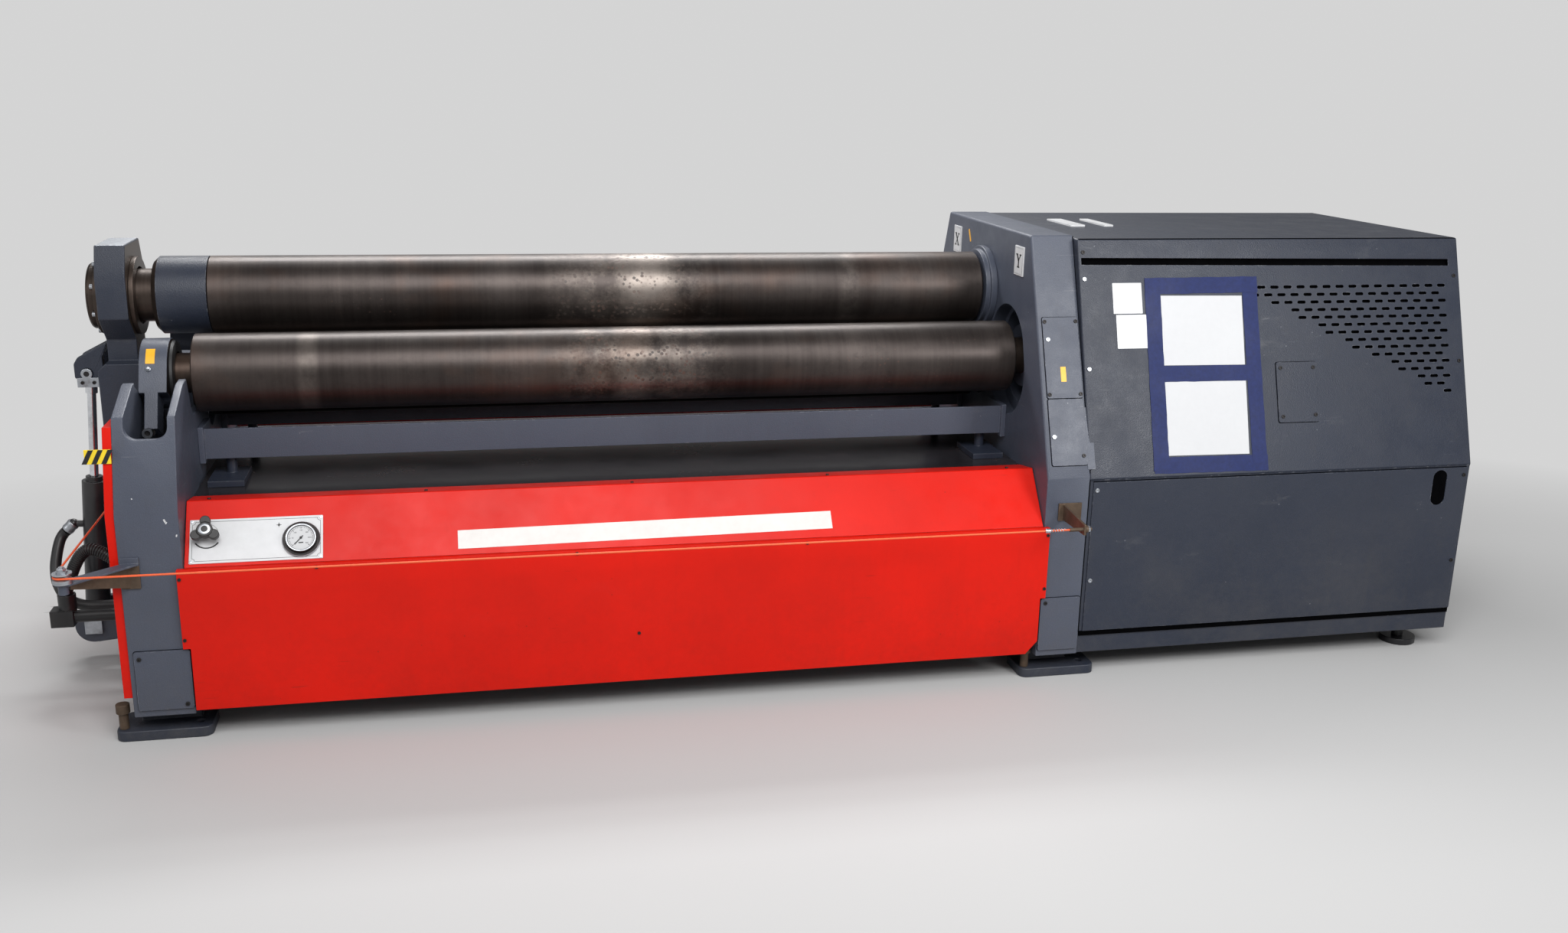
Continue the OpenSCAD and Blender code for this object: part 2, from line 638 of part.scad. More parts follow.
// ---- trip wire
pulley_x = lf0 - 91;
pulley_r = 21;
groove_r = 18;
pulley_y = wire_y - groove_r;
anchor_x = rf0 + 27;
module wire_brackets() {
    color(blue) place() both() {
        // drop-end arms that carry the pulleys
        block([lf0 + 3, -half_depth - 5, 393], [lf0 + 45, -half_depth, 469]);
        arm = [[lf0 + 3, -half_depth - 5], [lf0 + 45, -half_depth - 5],
            [pulley_x + 16, -pulley_y - 12], [pulley_x - 14, -pulley_y - 12],
            [pulley_x - 14, -pulley_y + 14]];
        translate([0, 0, wire_z - 20]) linear_extrude(5) polygon(arm);
        z_rod(wire_z - 42, wire_z - 20, pulley_x, -pulley_y, 11);
        // drive-end arms with the eyebolts that hold the wire's ends
        block([rf0 + 35, -half_depth - 5, 452], [rf0 + 100, -half_depth, 500]);
        along_x(anchor_x + 20, anchor_x + 26, [[-half_depth - 5, 455], [-half_depth - 5, 497],
            [-wire_y - 10, 484], [-wire_y - 10, 456]]);
        x_rod(anchor_x - 16, anchor_x + 44, -wire_y, wire_z, 5);
        x_rod(anchor_x + 26, anchor_x + 34, -wire_y, wire_z, 9);
    }
}
module wire_pulleys() {
    color(bright) place() both() rotate_pulley();
}
module rotate_pulley() {
    translate([pulley_x, -pulley_y, wire_z]) rotate_extrude() polygon([[0, -15], [pulley_r, -15],
        [pulley_r, -6], [groove_r - wire_r, -wire_r], [groove_r - wire_r, wire_r], [pulley_r, 6],
        [pulley_r, 9], [12, 9], [12, 14], [0, 14]]);
}
module trip_wire() {
    color([0.9, 0.35, 0.1]) place() {
        both() {
            x_rod(pulley_x, anchor_x - 16, -wire_y, wire_z, wire_r);
            translate([pulley_x, -pulley_y, wire_z]) rotate(180) rotate_extrude(angle = 90)
                translate([groove_r, 0]) circle(wire_r);
        }
        y_rod(-pulley_y, pulley_y, pulley_x - groove_r, wire_z, wire_r);
    }
}

// ---- hose and cable conduit: a tube swept along smooth curves through a few points
function spline(p, i, t) = let (a = p[max(i - 1, 0)], b = p[i], c = p[i + 1], d = p[min(i + 2, len(p) - 1)])
    0.5 * (2 * b + (c - a) * t + (2 * a - 5 * b + 4 * c - d) * t * t + (3 * b - a - 3 * c + d) * t * t * t);
function smooth(p, k) = [for (i = [0 : len(p) - 2]) for (j = [0 : k - 1]) spline(p, i, j / k), p[len(p) - 1]];
function unit(v) = v / norm(v);
function heading(q, i) = unit(q[min(i + 1, len(q) - 1)] - q[max(i - 1, 0)]);
// side direction carried along the curve so that the tube does not twist
function carry(q, i, s) = let (t = heading(q, i), u = unit(s - t * (s * t))) i == len(q) - 1 ? [u]
    : concat([u], carry(q, i + 1, u));
module tube(points, r, sides, k) {
    q = smooth(points, k);
    s = carry(q, 0, [0, 1, 0.01]);
    n = len(q);
    verts = [for (i = [0 : n - 1]) let (t = heading(q, i), u = s[i], v = cross(t, u))
        for (j = [0 : sides - 1]) q[i] + r * (cos(360 * j / sides) * u + sin(360 * j / sides) * v)];
    faces = concat(
        [for (i = [0 : n - 2]) for (j = [0 : sides - 1])
            let (a = i * sides + j, b = i * sides + (j + 1) % sides) [a, b, b + sides, a + sides]],
        [[for (j = [sides - 1 : -1 : 0]) j], [for (j = [0 : sides - 1]) (n - 1) * sides + j]]);
    polyhedron(verts, [for (f = faces) [for (j = [len(f) - 1 : -1 : 0]) f[j]]]);
}
// points of the cords, measured along X from the drop-end frame's outer face
hose_r = 14;
hose_y = -112;
hose_z = 192;
hose_path = [for (p = [[-252.7, 0, 367.3], [-262, 0, 357.6], [-270, -8, 342], [-275, -30, 312],
    [-275, -56, 280], [-266, -82, 246], [-243, -102, 214], [-203, -111, 196], [-151, hose_y, hose_z],
    [-1, hose_y, hose_z]]) p + [lf0, 0, 0]];
conduit_r = 16;
socket_fit = 0.9;
socket_y = -230;
socket_z = 331;
drop_x = lf0 - 217;
drop_y = -200;
conduit_path = concat([for (p = [[-30, socket_y, socket_z], [-44, socket_y, socket_z], [-60, socket_y, 336],
    [-86, -229, 354], [-116, -224, 374], [-144, -216, 382], [-165, -209, 371], [-184, -204, 345],
    [-202, -201, 306]]) p + [lf0, 0, 0]], [for (z = [264, 240]) [drop_x, drop_y, z]]);
module hydraulic_hose() { color(dark) place() tube(hose_path, hose_r, 10, 4); }
module cable_conduit() { color(dark) place() tube(conduit_path, conduit_r, 10, 4); }
module conduit_fittings() {
    bend_z1 = 220;
    color(dark) place() {
        // sockets that hold the conduit's two ends
        difference() {
            x_rod(lf0 - 40, lf0 - side_cover_d, socket_y, socket_z, conduit_r + 6);
            x_rod(lf0 - 41, lf0 - side_cover_d - 1, socket_y, socket_z, conduit_r + socket_fit);
        }
        difference() {
            z_rod(bend_z1, bend_z1 + 40, drop_x, drop_y, conduit_r + 6);
            z_rod(bend_z1 + 15, bend_z1 + 41, drop_x, drop_y, conduit_r + socket_fit);
        }
        // bend that leads it back to the frame
        block([bend_block_x0, drop_y - 22, bend_z1 - 44], [bend_block_x1, drop_y + 22, bend_z1]);
        x_rod(bend_block_x1, lf0 - side_cover_d, drop_y, bend_z1 - 22, 16);
    }
}

left_frame();
right_frame();
roll_flange();
base_ties();
frame_feet();
cabinet_feet();
levelling_bolts();
top_roll();
top_roll_end();
front_roll();
rear_roll();
bottom_roll();
front_blocks();
rear_blocks();
bottom_blocks();
drop_yoke();
yoke_bearing();
frame_pins();
yoke_pin();
cylinder_lug();
cylinder_barrel();
cylinder_rod();
cabinet_housing();
cabinet_panels();
cabinet_base();
front_upper_cover();
front_lower_cover();
rear_upper_cover();
rear_lower_cover();
deck_plate();
front_beam();
rear_beam();
beam_supports();
access_plates();
control_plate();
pressure_gauge();
star_knob();
side_covers();
guard_bars();
wire_brackets();
wire_pulleys();
trip_wire();
hydraulic_hose();
cable_conduit();
conduit_fittings();
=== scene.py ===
# %% [markdown]
# # A four-roll plate bending machine
# Two heavy frames carry four long steel rolls. The right-hand frame is joined to a drive cabinet, and the
# left-hand one has a yoke that drops open, so that a finished tube can be slid off the top roll. The shapes
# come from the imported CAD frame. This file gives every surface its finish, rounds the plate edges, and adds
# what is too fine for the CAD part: screws, vents, labels, hose fittings, tape and wear.

# %% Load the frame
import json
import math
import bpy
import bmesh
from mathutils import Matrix, Vector


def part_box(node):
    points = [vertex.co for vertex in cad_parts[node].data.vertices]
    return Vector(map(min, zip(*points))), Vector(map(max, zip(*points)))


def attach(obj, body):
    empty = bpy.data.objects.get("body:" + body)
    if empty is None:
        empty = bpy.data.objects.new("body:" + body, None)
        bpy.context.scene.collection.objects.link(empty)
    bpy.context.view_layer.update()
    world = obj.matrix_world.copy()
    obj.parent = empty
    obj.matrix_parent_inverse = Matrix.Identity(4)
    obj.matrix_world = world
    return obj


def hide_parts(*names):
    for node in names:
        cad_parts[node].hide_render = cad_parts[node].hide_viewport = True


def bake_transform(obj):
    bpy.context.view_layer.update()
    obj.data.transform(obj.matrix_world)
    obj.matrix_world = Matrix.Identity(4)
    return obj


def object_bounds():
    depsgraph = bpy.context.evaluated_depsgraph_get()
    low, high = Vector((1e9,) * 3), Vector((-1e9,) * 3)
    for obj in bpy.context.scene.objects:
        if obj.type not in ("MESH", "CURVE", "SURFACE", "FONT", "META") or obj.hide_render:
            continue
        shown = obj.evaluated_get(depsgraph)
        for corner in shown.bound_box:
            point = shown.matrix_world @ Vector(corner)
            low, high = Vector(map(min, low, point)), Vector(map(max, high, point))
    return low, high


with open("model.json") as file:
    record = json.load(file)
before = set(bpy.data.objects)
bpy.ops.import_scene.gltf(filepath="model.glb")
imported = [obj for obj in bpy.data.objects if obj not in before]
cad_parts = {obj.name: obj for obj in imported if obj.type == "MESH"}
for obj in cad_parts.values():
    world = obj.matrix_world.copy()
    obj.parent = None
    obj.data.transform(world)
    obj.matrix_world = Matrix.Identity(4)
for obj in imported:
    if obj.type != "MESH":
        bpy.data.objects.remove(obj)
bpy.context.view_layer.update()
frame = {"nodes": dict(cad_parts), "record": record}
node = frame["nodes"]
body_of = {name: body for body, names in frame["record"]["behaviour"]["bodies"].items() for name in names}
slot_of = {part["node"]: part["material_slot"] for part in frame["record"]["subparts"]}

# %% [markdown]
# ## One way to say where things are
# Everything on this machine is laid out from the inner face of the drop-end frame, in millimetres: X runs
# along the rolls, Y goes back through the machine from its middle plane, and Z is the height above the
# floor. The function `at` turns such a place into the frame's metres, so that a place reads as it would on
# a drawing.

# %% Places and sizes taken from the frame
MM = 0.001
inner_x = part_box("left_frame")[1].x


def at(x, y, z):
    return Vector((inner_x + x * MM, y * MM, z * MM))


def span(name):
    """The lowest and highest corner of a CAD node, in millimetres from the drop-end frame's inner face."""
    low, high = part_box(name)
    shift = Vector((inner_x, 0, 0))
    return (low - shift) / MM, (high - shift) / MM


outer = span("side_covers")[1].x
drive_in, drive_out = span("right_frame")[0].x, span("right_frame")[1].x
cabinet_end = span("cabinet_housing")[1].x


def quarter_turn(axis):
    return Matrix.Rotation(math.radians(90), 4, axis)


print(f"clear gap {drive_in:.0f} mm, cabinet {cabinet_end - drive_out:.0f} mm long")

# %% [markdown]
# ## Camera
# A person with a wide lens stands left of the middle and holds the camera at eye height, tipped down a
# little. The camera is turned by three plain angles, and is set before anything else is made.

# %% Camera
turn, tip, lean = (math.radians(angle) for angle in (-12.66, -15.30, -1.25))
eye = at(670, -3980, 1587)
aim = Matrix.Rotation(turn, 4, "Z") @ Matrix.Rotation(tip, 4, "X") @ Matrix.Rotation(lean, 4, "Y")
camera_data = bpy.data.cameras.new("camera")
camera_data.lens = 33.1
camera_data.sensor_width = 36
camera = bpy.data.objects.new("camera", camera_data)
camera.matrix_world = Matrix.Translation(eye) @ aim @ quarter_turn("X")
bpy.context.scene.collection.objects.link(camera)
bpy.context.scene.camera = camera
bpy.context.scene.view_settings.view_transform = "Standard"
print("camera at", [round(v, 3) for v in camera.matrix_world.translation])

# %% [markdown]
# ## From a shape to a piece
# Each small part is built as a bmesh, a mesh that is edited in code. `piece` turns it into an object: its
# edges may be rounded first, its normals are put right, flat faces are shaded flat and round ones smooth,
# and the object is tied to the body of the machine that carries it. The finish is only noted here by name,
# because the materials are made later.

# %% Make pieces
looks_of = {}


def bevel(shape, edges, width, steps=2, clamp=False):
    """Rounds the given edges by a width in millimetres."""
    bmesh.ops.bevel(shape, geom=edges, offset=width * MM, segments=steps, profile=0.5, affect="EDGES",
                    clamp_overlap=clamp, material=-1)


def soften(shape, width, steps=2, angle=30.0, clamp=True, chosen=None):
    """Rounds the edges sharper than an angle, in degrees, by a width in millimetres."""
    edges = [edge for edge in shape.edges if len(edge.link_faces) == 2
             and edge.calc_face_angle() > math.radians(angle) and (chosen is None or chosen(edge))]
    bevel(shape, edges, width, steps, clamp)


def as_mesh(name, shape):
    """Closes a bmesh into a mesh."""
    mesh = bpy.data.meshes.new(name)
    shape.to_mesh(mesh)
    shape.free()
    return mesh


def as_bmesh(mesh):
    """Opens a mesh as a bmesh, ready for more work."""
    shape = bmesh.new()
    shape.from_mesh(mesh)
    return shape


def as_object(name, shape):
    """Closes a bmesh into an object at the origin."""
    made = bpy.data.objects.new(name, as_mesh(name, shape))
    bpy.context.scene.collection.objects.link(made)
    return made


def dress(made, look, body="frame", sharp=35.0):
    """Shading, body and finish of a finished object."""
    made.data.shade_smooth()
    made.data.set_sharp_from_angle(angle=math.radians(sharp))
    weighted = made.modifiers.new("weighted", "WEIGHTED_NORMAL")
    weighted.keep_sharp = True
    if body:
        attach(made, body)
    looks_of[made.name] = [look]
    return made


def piece(name, shape, look, body="frame", round_mm=0.0, steps=2, sharp=35.0):
    """A finished piece from a bmesh, with its edges rounded first if a width is given."""
    if round_mm:
        soften(shape, round_mm, steps)
    bmesh.ops.recalc_face_normals(shape, faces=shape.faces)
    return dress(as_object(name, shape), look, body, sharp)


# %% Hide the CAD node that a piece stands for, and repaint some of its faces


def stands_for(name):
    """Hides the CAD node that a piece stands for."""
    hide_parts(name)


def repaint(made, look, rule):
    """Gives the faces that meet a rule, told by middle and normal, a finish of their own."""
    looks_of[made.name].append(look)
    index = len(looks_of[made.name]) - 1
    for face in made.data.polygons:
        if rule(face.center, face.normal):
            face.material_index = index


# %% [markdown]
# ## A few basic shapes
# Most parts are one of three things: a turned part, a flat plate with round corners, or a round tube that
# follows a smooth line. A turned part is a profile spun round an axis. The tube is a curve with a round
# section, made into a mesh, because a curve gives each point its own thickness: that makes the ribs of a
# conduit.

# %% Turned parts, and shapes put together


def lathe(profile, steps=48):
    """A profile of (height, radius) in millimetres, turned round the local Z axis."""
    shape = bmesh.new()
    verts = [shape.verts.new((radius * MM, 0, height * MM)) for height, radius in profile]
    edges = [shape.edges.new(pair) for pair in zip(verts, verts[1:])]
    bmesh.ops.spin(shape, geom=verts + edges, axis=(0, 0, 1), cent=(0, 0, 0), angle=math.tau, steps=steps,
                   use_merge=True)
    bmesh.ops.remove_doubles(shape, verts=shape.verts, dist=1e-6)
    return shape


def put(shape, place):
    """Moves a shape by a matrix."""
    bmesh.ops.transform(shape, matrix=place, verts=shape.verts)
    return shape


def turned(profile, place, steps=48):
    """A turned part with its foot at a place."""
    return put(lathe(profile, steps), place)


# %% Copies and groups of shapes


def repeat(shape, places):
    """The same small shape at several places, as one bmesh."""
    pattern = as_mesh("pattern", shape)
    whole = bmesh.new()
    for place in places:
        before = len(whole.verts)
        whole.from_mesh(pattern)
        whole.verts.ensure_lookup_table()
        bmesh.ops.transform(whole, matrix=place, verts=whole.verts[before:])
    bpy.data.meshes.remove(pattern)
    return whole


def gather(*shapes):
    """Several shapes as one bmesh."""
    whole = bmesh.new()
    for shape in shapes:
        part = as_mesh("part", shape)
        whole.from_mesh(part)
        bpy.data.meshes.remove(part)
    return whole


# %% Parts turned round an axis along the rolls


def x_turned(name, profile, y, z, look, body="frame", steps=96, sharp=35.0):
    """A part turned round an axis along X: its profile's heights are X."""
    shape = turned(profile, Matrix.Translation(at(0, y, z)) @ quarter_turn("Y"), steps)
    return piece(name, shape, look, body, sharp=sharp)


# %% Flat plates


def plate(width, height, thick, corner=3.0, edge=0.0, steps=4):
    """A flat plate round its middle, standing on local z = 0, with round corners."""
    shape = bmesh.new()
    bmesh.ops.create_cube(shape, size=1.0)
    bmesh.ops.scale(shape, vec=Vector((width, height, thick)) * MM, verts=shape.verts)
    bmesh.ops.translate(shape, vec=(0, 0, thick * MM / 2), verts=shape.verts)
    upright = [e for e in shape.edges if abs(e.verts[0].co.z - e.verts[1].co.z) > thick * MM * 0.5]
    if corner:
        bevel(shape, upright, corner, steps)
    if edge:
        rim = [e for e in shape.edges if min(v.co.z for v in e.verts) > thick * MM * 0.9]
        bevel(shape, rim, edge)
    return shape


# %% Socket-head screws


def socket_screw(radius=6.0, height=3.0, depth=2.2):
    """A round head with a six-sided socket."""
    shape = bmesh.new()
    outside = bmesh.ops.create_circle(shape, segments=20, radius=radius * MM)["verts"]
    bmesh.ops.create_circle(shape, segments=6, radius=radius * 0.55 * MM)
    bmesh.ops.translate(shape, vec=(0, 0, height * MM), verts=shape.verts)
    rim = [e for e in shape.edges if e.verts[0] in outside]
    well = [e for e in shape.edges if e not in rim]
    bmesh.ops.bridge_loops(shape, edges=shape.edges[:])
    for edges, drop in ((rim, height), (well, depth)):
        made = bmesh.ops.extrude_edge_only(shape, edges=edges)["geom"]
        low = [part for part in made if isinstance(part, bmesh.types.BMVert)]
        bmesh.ops.translate(shape, vec=(0, 0, -drop * MM), verts=low)
        bmesh.ops.edgeloop_fill(shape, edges=[e for e in made if isinstance(e, bmesh.types.BMEdge)
                                              and e.verts[0] in low and e.verts[1] in low])
    bevel(shape, rim, radius * 0.12)
    return shape


# %% Flat surfaces of the machine


def facing(y, z, right=(1, 0, 0), up=(0, 0, 1), x=0.0):
    """A matrix for a flat surface: local x runs to the right, y up, and z out of it. x, y and z are in mm."""
    right, up = Vector(right).normalized(), Vector(up).normalized()
    axes = Matrix((right, up, right.cross(up))).transposed().to_4x4()
    return Matrix.Translation(at(x, y, z)) @ axes


def slope(low, high):
    """A surface that leans back between two (y, z) lines."""
    return facing(*low, up=(0, high[0] - low[0], high[1] - low[1]))


def on(surface, x, s, out=0.0, spin=0.0):
    """A place on a surface, in millimetres, turned by an angle in degrees."""
    spun = Matrix.Rotation(math.radians(spin), 4, "Z")
    return surface @ Matrix.Translation((x * MM, s * MM, out * MM)) @ spun


def spots(surface, places, out=0.0):
    """Several places on one surface."""
    return [on(surface, x, s, out) for x, s in places]


front_y = -565
frame_slope = slope((front_y, 569), (-334, 1180))
cabinet_slope = slope((front_y, 560), (-366, 1174))
cover_slope = slope((-562, 436), (-461, 569))
frame_front = facing(front_y, 0)
panel_front = facing(front_y, 0)
panel_back = facing(-562, 0)
cover_front = facing(-578, 0)
inner_face = facing(0, 0, right=(0, -1, 0), x=drive_in)
sides = (("front", -1), ("rear", 1))
flip_to = {"front": Matrix.Identity(4), "rear": Matrix.Scale(-1, 4, (0, 1, 0))}
print("eight flat surfaces to put things on, and a mirror for the rear half")

# %% [markdown]
# ## Cords
# A hydraulic hose feeds the cylinder that drops the yoke, and a ribbed conduit carries the cables. Both
# follow the same points as in the CAD part. A Catmull-Rom curve goes smoothly through the points, and the
# tube is a curve with a round section turned into a mesh.

# %% Tubes along smooth lines


def smooth_line(points, steps):
    """Points along a Catmull-Rom curve through the given places."""
    points = [Vector(point) for point in points]
    line = []
    for i in range(len(points) - 1):
        a, b = points[max(i - 1, 0)], points[i]
        c, d = points[i + 1], points[min(i + 2, len(points) - 1)]
        for j in range(steps):
            t = j / steps
            line.append(0.5 * (2 * b + (c - a) * t + (2 * a - 5 * b + 4 * c - d) * t * t
                               + (3 * b - a - 3 * c + d) * t ** 3))
    return line + [points[-1]]


def line_length(line):
    return sum((b - a).length for a, b in zip(line, line[1:]))


def tube(name, line, radius, sides=16, scale=None):
    """A closed round tube along a line, with a scale of its radius for each point."""
    curve = bpy.data.curves.new(name + "_line", "CURVE")
    curve.dimensions = "3D"
    curve.bevel_depth = radius * MM
    curve.bevel_resolution = sides // 2 - 2
    curve.use_fill_caps = True
    run = curve.splines.new("POLY")
    run.points.add(len(line) - 1)
    for i, place in enumerate(line):
        run.points[i].co = (*place, 1)
        run.points[i].radius = scale[i] if scale else 1.0
    helper = bpy.data.objects.new(name + "_line", curve)
    mesh = bpy.data.meshes.new_from_object(helper)
    shape = as_bmesh(mesh)
    bpy.data.objects.remove(helper)
    bpy.data.meshes.remove(mesh)
    bmesh.ops.remove_doubles(shape, verts=shape.verts, dist=1e-6)
    bmesh.ops.recalc_face_normals(shape, faces=shape.faces)
    return shape


# %% Hydraulic hose
hose_points = [(-252.7, 0, 367.3), (-262, 0, 357.6), (-270, -8, 342), (-275, -30, 312), (-275, -56, 280),
               (-266, -82, 246), (-243, -102, 214), (-203, -111, 196), (-151, -112, 192), (-1, -112, 192)]
hose_line = smooth_line([at(outer + x, y, z) for x, y, z in hose_points], 8)
hose = as_object("hose", tube("hose", hose_line, 14))
dress(hose, "black_rubber", body=None)
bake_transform(hose)
stands_for("hydraulic_hose")
print(f"hose {line_length(hose_line):.3f} m long")

# %% Ribbed conduit
conduit_points = [(-30, -230, 331), (-44, -230, 331), (-60, -230, 336), (-86, -229, 354),
                  (-116, -224, 374), (-144, -216, 382), (-165, -209, 371), (-184, -204, 345),
                  (-202, -201, 306), (-217, -200, 264), (-217, -200, 240)]


def even_line(line, pitch):
    """The line walked again in equal steps."""
    walked, left = [line[0]], pitch
    for a, b in zip(line, line[1:]):
        gap = (b - a).length
        while left <= gap:
            walked.append(a.lerp(b, left / gap))
            left += pitch
        left -= gap
    return walked + [line[-1]]


rib_pitch, groove = 6.0, 0.86
smooth_run = smooth_line([at(outer + x, y, z) for x, y, z in conduit_points], 24)
conduit_line = even_line(smooth_run, rib_pitch / 4 * MM)
ribs = [1.0 if i % 4 in (0, 1) else groove for i in range(len(conduit_line))]
conduit = as_object("conduit", tube("conduit", conduit_line, 16, scale=ribs))
dress(conduit, "black_plastic")
stands_for("cable_conduit")
print(f"conduit {line_length(conduit_line):.3f} m long, {len(conduit.data.polygons)} faces")

# %% [markdown]
# ## Small shader helpers
# A node tree is easier to read when each node is one call. `add` makes a node, sets its plain values and
# links whatever is a socket. A material is a Principled shader whose sockets take such nodes.

# %% Nodes and sums


def feed(tree, socket, value):
    """Links a socket, or sets its plain value. Three numbers make an opaque colour."""
    if isinstance(value, bpy.types.NodeSocket):
        tree.links.new(value, socket)
    elif socket.type == "RGBA":
        socket.default_value = (*value, 1)
    else:
        socket.default_value = value


def add(tree, kind, props=None, **inputs):
    """One shader node. Inputs are given by name, with _ for a space, or by number as i0, i1 and so on."""
    new = tree.nodes.new("ShaderNode" + kind)
    for key, value in (props or {}).items():
        setattr(new, key, value)
    for key, value in inputs.items():
        by_number = key[0] == "i" and key[1:].isdigit()
        feed(tree, new.inputs[int(key[1:]) if by_number else key.replace("_", " ")], value)
    return new


def calc(tree, operation, a, b=0.0, clamp=False):
    """One sum of two values."""
    return add(tree, "Math", {"operation": operation, "use_clamp": clamp}, i0=a, i1=b).outputs[0]


def times(tree, *values):
    """The product of several values."""
    result = values[0]
    for value in values[1:]:
        result = calc(tree, "MULTIPLY", result, value)
    return result


# %% Masks and patterns


def ramp(tree, value, low, high, start=0.0, end=1.0):
    """Value mapped from low..high to start..end, held at both ends."""
    return add(tree, "MapRange", {"clamp": True}, i0=value, i1=low, i2=high, i3=start, i4=end).outputs[0]


def mix(tree, share, one, two):
    """Two colours mixed by a share."""
    return add(tree, "Mix", {"data_type": "RGBA"}, i0=share, i6=one, i7=two).outputs[2]


def noise(tree, where, scale, detail=3.0, rough=0.55, stretch=None):
    """A cloudy pattern, drawn out along an axis where the stretch is small."""
    if stretch:
        where = add(tree, "Mapping", Vector=where, Scale=stretch).outputs[0]
    return add(tree, "TexNoise", Vector=where, Scale=scale, Detail=detail, Roughness=rough).outputs[0]


def cells(tree, where, scale):
    """Distance to the nearest of many scattered points: small near the middle of a spot."""
    return add(tree, "TexVoronoi", {"feature": "F1"}, Vector=where, Scale=scale).outputs["Distance"]


# %% Colours


def srgb(r, g, b):
    """A colour off a paint card, 0..255, as the linear values that shaders use."""
    return tuple((c / 255 / 12.92) if c <= 10 else ((c / 255 + 0.055) / 1.055) ** 2.4 for c in (r, g, b))


def shade(colour, factor):
    """The colour made darker or lighter."""
    return tuple(min(1.0, c * factor) for c in colour)


# %% A new finish
looks = {}


def finish(name):
    """A new material: its tree, its Principled shader and the object coordinates."""
    material = bpy.data.materials.new(name)
    looks[name] = material
    material.use_nodes = True
    tree = material.node_tree
    tree.nodes.clear()
    shader = add(tree, "BsdfPrincipled")
    output = add(tree, "OutputMaterial")
    tree.links.new(shader.outputs[0], output.inputs[0])
    place = add(tree, "TexCoord").outputs["Object"]
    return material, tree, shader, place


def plug(tree, shader, **sockets):
    """Links or sets sockets of the shader, with _ for a space."""
    for key, value in sockets.items():
        feed(tree, shader.inputs[key.replace("_", " ")], value)


# %% [markdown]
# ## Shared effects
# Three things happen to every painted plate in a workshop. Paint rubs through on the corners, dust settles
# low down and on ledges, and hands and oil leave marks that run downwards. On the blue-grey paints the
# lighter corners are also a painted highlight along the edges. Each is a node group with named sockets, built
# once and placed in each paint with its own amounts.

# %% Make and place groups


def group(name, inputs, outputs):
    """A new group: its tree, its input node and its output node."""
    tree = bpy.data.node_groups.new(name, "ShaderNodeTree")
    for title, kind, value in inputs:
        socket = tree.interface.new_socket(name=title, in_out="INPUT", socket_type="NodeSocket" + kind)
        if value is not None:
            socket.default_value = value
    for title, kind in outputs:
        tree.interface.new_socket(name=title, in_out="OUTPUT", socket_type="NodeSocket" + kind)
    return tree, tree.nodes.new("NodeGroupInput"), tree.nodes.new("NodeGroupOutput")


def use(tree, group_tree, **inputs):
    """Places a group in a material."""
    return add(tree, "Group", {"node_tree": group_tree}, **inputs).outputs


# %% Group: worn edges, also a painted highlight along them
worn_and_highlit_edge_group, given, result = group(
    "worn_edges",
    [("Vector", "Vector", None), ("Width", "Float", 0.004), ("Amount", "Float", 0.5)],
    [("Mask", "Float")],
)
soft = add(worn_and_highlit_edge_group, "Bevel", {"samples": 4}, Radius=given.outputs["Width"]).outputs[0]
sharp = add(worn_and_highlit_edge_group, "NewGeometry").outputs["Normal"]
facing_share = add(worn_and_highlit_edge_group, "VectorMath", {"operation": "DOT_PRODUCT"}, i0=soft, i1=sharp).outputs["Value"]
corner_mask = ramp(worn_and_highlit_edge_group, facing_share, 0.992, 0.86)
patches = noise(worn_and_highlit_edge_group, given.outputs["Vector"], 55.0, 6.0, 0.7)
broken = calc(worn_and_highlit_edge_group, "ADD", patches, calc(worn_and_highlit_edge_group, "SUBTRACT", given.outputs["Amount"], 1.0))
mask = times(worn_and_highlit_edge_group, corner_mask, ramp(worn_and_highlit_edge_group, broken, -0.06, 0.06))
worn_and_highlit_edge_group.links.new(mask, result.inputs["Mask"])
print("group", worn_and_highlit_edge_group.name, "ready")

# %% Group: grime that settles low down, and runs of dirt
grime_group, given, result = group(
    "grime",
    [("Vector", "Vector", None), ("Low", "Float", 0.0), ("High", "Float", 0.5), ("Amount", "Float", 0.5)],
    [("Mask", "Float"), ("Runs", "Float")],
)
where = given.outputs["Vector"]
height = add(grime_group, "SeparateXYZ", Vector=where).outputs["Z"]
near_floor = ramp(grime_group, height, given.outputs["High"], given.outputs["Low"])
cloud = noise(grime_group, where, 4.0, 6.0, 0.65)
fine = noise(grime_group, where, 60.0, 4.0, 0.7)
mixed = calc(grime_group, "ADD", times(grime_group, cloud, 0.7), times(grime_group, fine, 0.3))
spread = calc(grime_group, "ADD", times(grime_group, near_floor, 0.8), 0.25)
settled = times(grime_group, ramp(grime_group, mixed, 0.42, 0.66), spread, given.outputs["Amount"])
streaks = noise(grime_group, where, 1.0, 4.0, 0.6, stretch=(38, 38, 2.2))
runs = times(grime_group, ramp(grime_group, streaks, 0.56, 0.72), given.outputs["Amount"])
grime_group.links.new(settled, result.inputs["Mask"])
grime_group.links.new(runs, result.inputs["Runs"])
print("group", grime_group.name, "ready")

